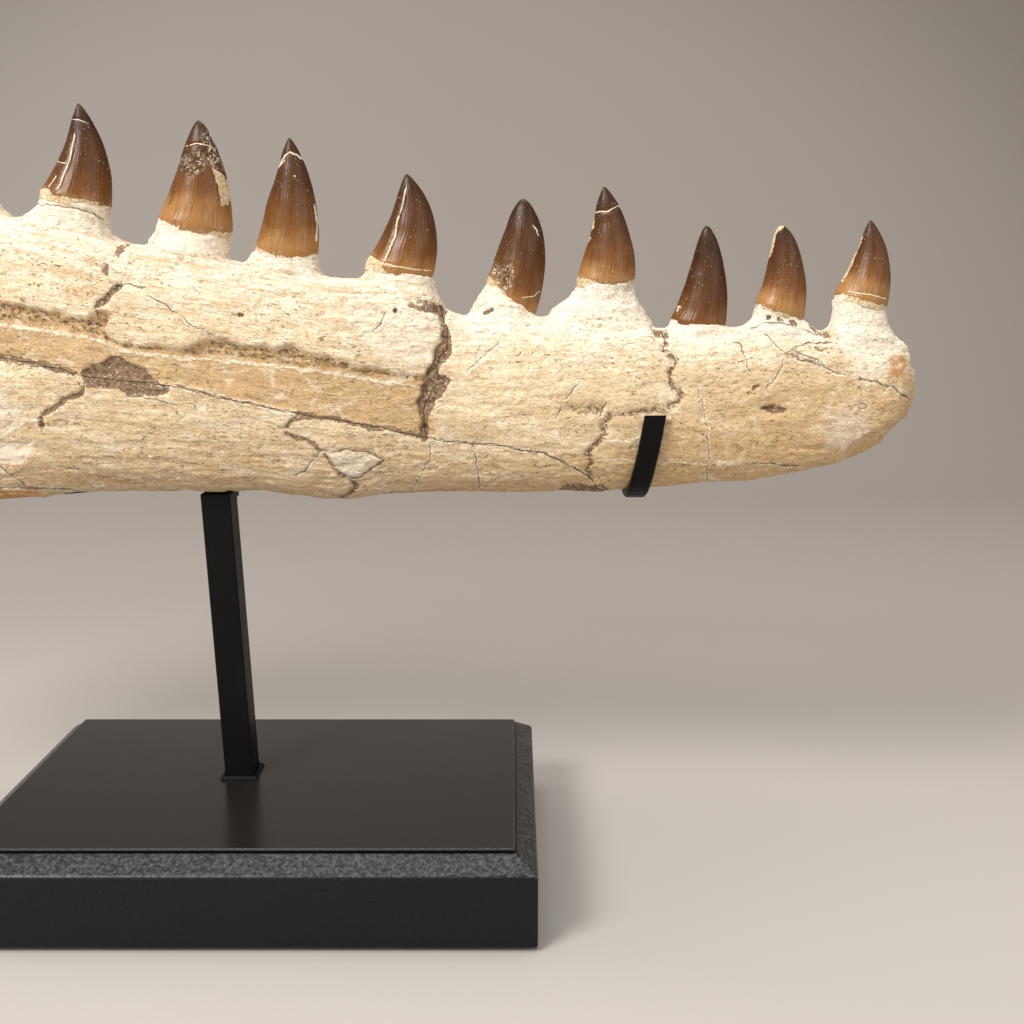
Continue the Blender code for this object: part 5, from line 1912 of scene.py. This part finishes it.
@dataclass(frozen=True)
class SoftLight:
    """A square soft light: where it hangs, what it points at, its side in metres and its watts."""

    name: str
    place: Triple
    target: Triple
    size: float
    power: float
    colour: Colour

    def hang(self) -> None:
        """Adds the light to the scene."""
        data = bpy.data.lights.new(self.name, "AREA")
        data.size = self.size
        data.energy = self.power
        data.color = self.colour
        light = bpy.data.objects.new(self.name, data)
        light.location = self.place
        aim = Vector(self.target) - Vector(self.place)
        light.rotation_euler = aim.to_track_quat("-Z", "Y").to_euler()
        bpy.context.scene.collection.objects.link(light)


@dataclass
class Studio:
    """The paper sweep, the soft lights and the camera. Sizes are metres."""

    camera_place: Triple = (0.1076, -0.478, 0.2528)
    pitch: float = 11.087
    lens: float = 40.0
    sensor: float = 36.0
    floor_z: float = -0.0003
    half_width: float = 3.0
    front: float = -2.2
    bend_start: float = 0.9
    bend_radius: float = 0.8
    wall_top: float = 3.0
    air: float = 0.42
    air_colour: Colour = (1.0, 0.96, 0.91)
    paper: StudioPaper = field(default_factory=StudioPaper)
    lights: tuple[SoftLight, ...] = (
        SoftLight("key", (-1.1, -1.25, 1.55), (0.0, 0.0, 0.22), 0.8, 44.0, (1.0, 0.965, 0.92)),
        SoftLight("top", (0.15, 0.15, 1.7), (0.1, 0.0, 0.2), 1.4, 19.0, (1.0, 0.97, 0.93)),
        SoftLight("fill", (1.5, -1.3, 0.9), (0.1, 0.0, 0.2), 1.2, 8.0, (1.0, 0.96, 0.92)),
        SoftLight("low", (-0.5, -1.5, 0.2), (0.05, 0.0, 0.2), 1.0, 4.5, (1.0, 0.96, 0.92)))

    def build(self) -> None:
        """Makes the sweep, the lights and the camera."""
        self.make_sweep()
        for light in self.lights:
            light.hang()
        world = bpy.data.worlds.new("studio_air")
        world.use_nodes = True
        background = world.node_tree.nodes["Background"]
        background.inputs["Color"].default_value = (*self.air_colour, 1.0)
        background.inputs["Strength"].default_value = self.air
        bpy.context.scene.world = world
        self.make_camera()

    def make_sweep(self) -> None:
        """Makes the floor, which bends up into the wall behind."""
        line = [(self.front, self.floor_z)]
        for angle in np.linspace(0.0, math.pi / 2.0, 24):
            line.append((self.bend_start + self.bend_radius * math.sin(angle),
                         self.floor_z + self.bend_radius * (1.0 - math.cos(angle))))
        line.append((self.bend_start + self.bend_radius, self.wall_top))
        points = np.array([(side * self.half_width, y, z) for y, z in line for side in (-1, 1)]) / MM
        rows = np.arange(len(line) - 1) * 2
        faces = np.stack([rows, rows + 1, rows + 3, rows + 2], axis=1)
        sweep = make_mesh_object("paper_sweep", points, faces)
        sweep.data.shade_smooth()
        sweep.data.materials.append(self.paper.material())

    def make_camera(self) -> None:
        """Makes the camera at the photograph's viewing angle."""
        data = bpy.data.cameras.new("camera")
        data.lens = self.lens
        data.sensor_width = self.sensor
        data.clip_start = 0.01
        camera = bpy.data.objects.new("camera", data)
        camera.location = self.camera_place
        camera.rotation_euler = (math.radians(90.0 - self.pitch), 0.0, 0.0)
        bpy.context.scene.collection.objects.link(camera)
        bpy.context.scene.camera = camera


def main() -> None:
    """Builds and dresses the whole part."""
    logging.basicConfig(level=logging.INFO, format="%(relativeCreated)6d %(name)s %(message)s")
    bpy.context.scene.view_settings.view_transform = "Standard"
    Studio().build()
    Stand().dress()
    JawBones().build()
    enamel = ToothEnamel().material()
    for number, tooth in enumerate(TEETH, 1):
        Crown(tooth, number).build(enamel)


if __name__ == "__main__":
    main()
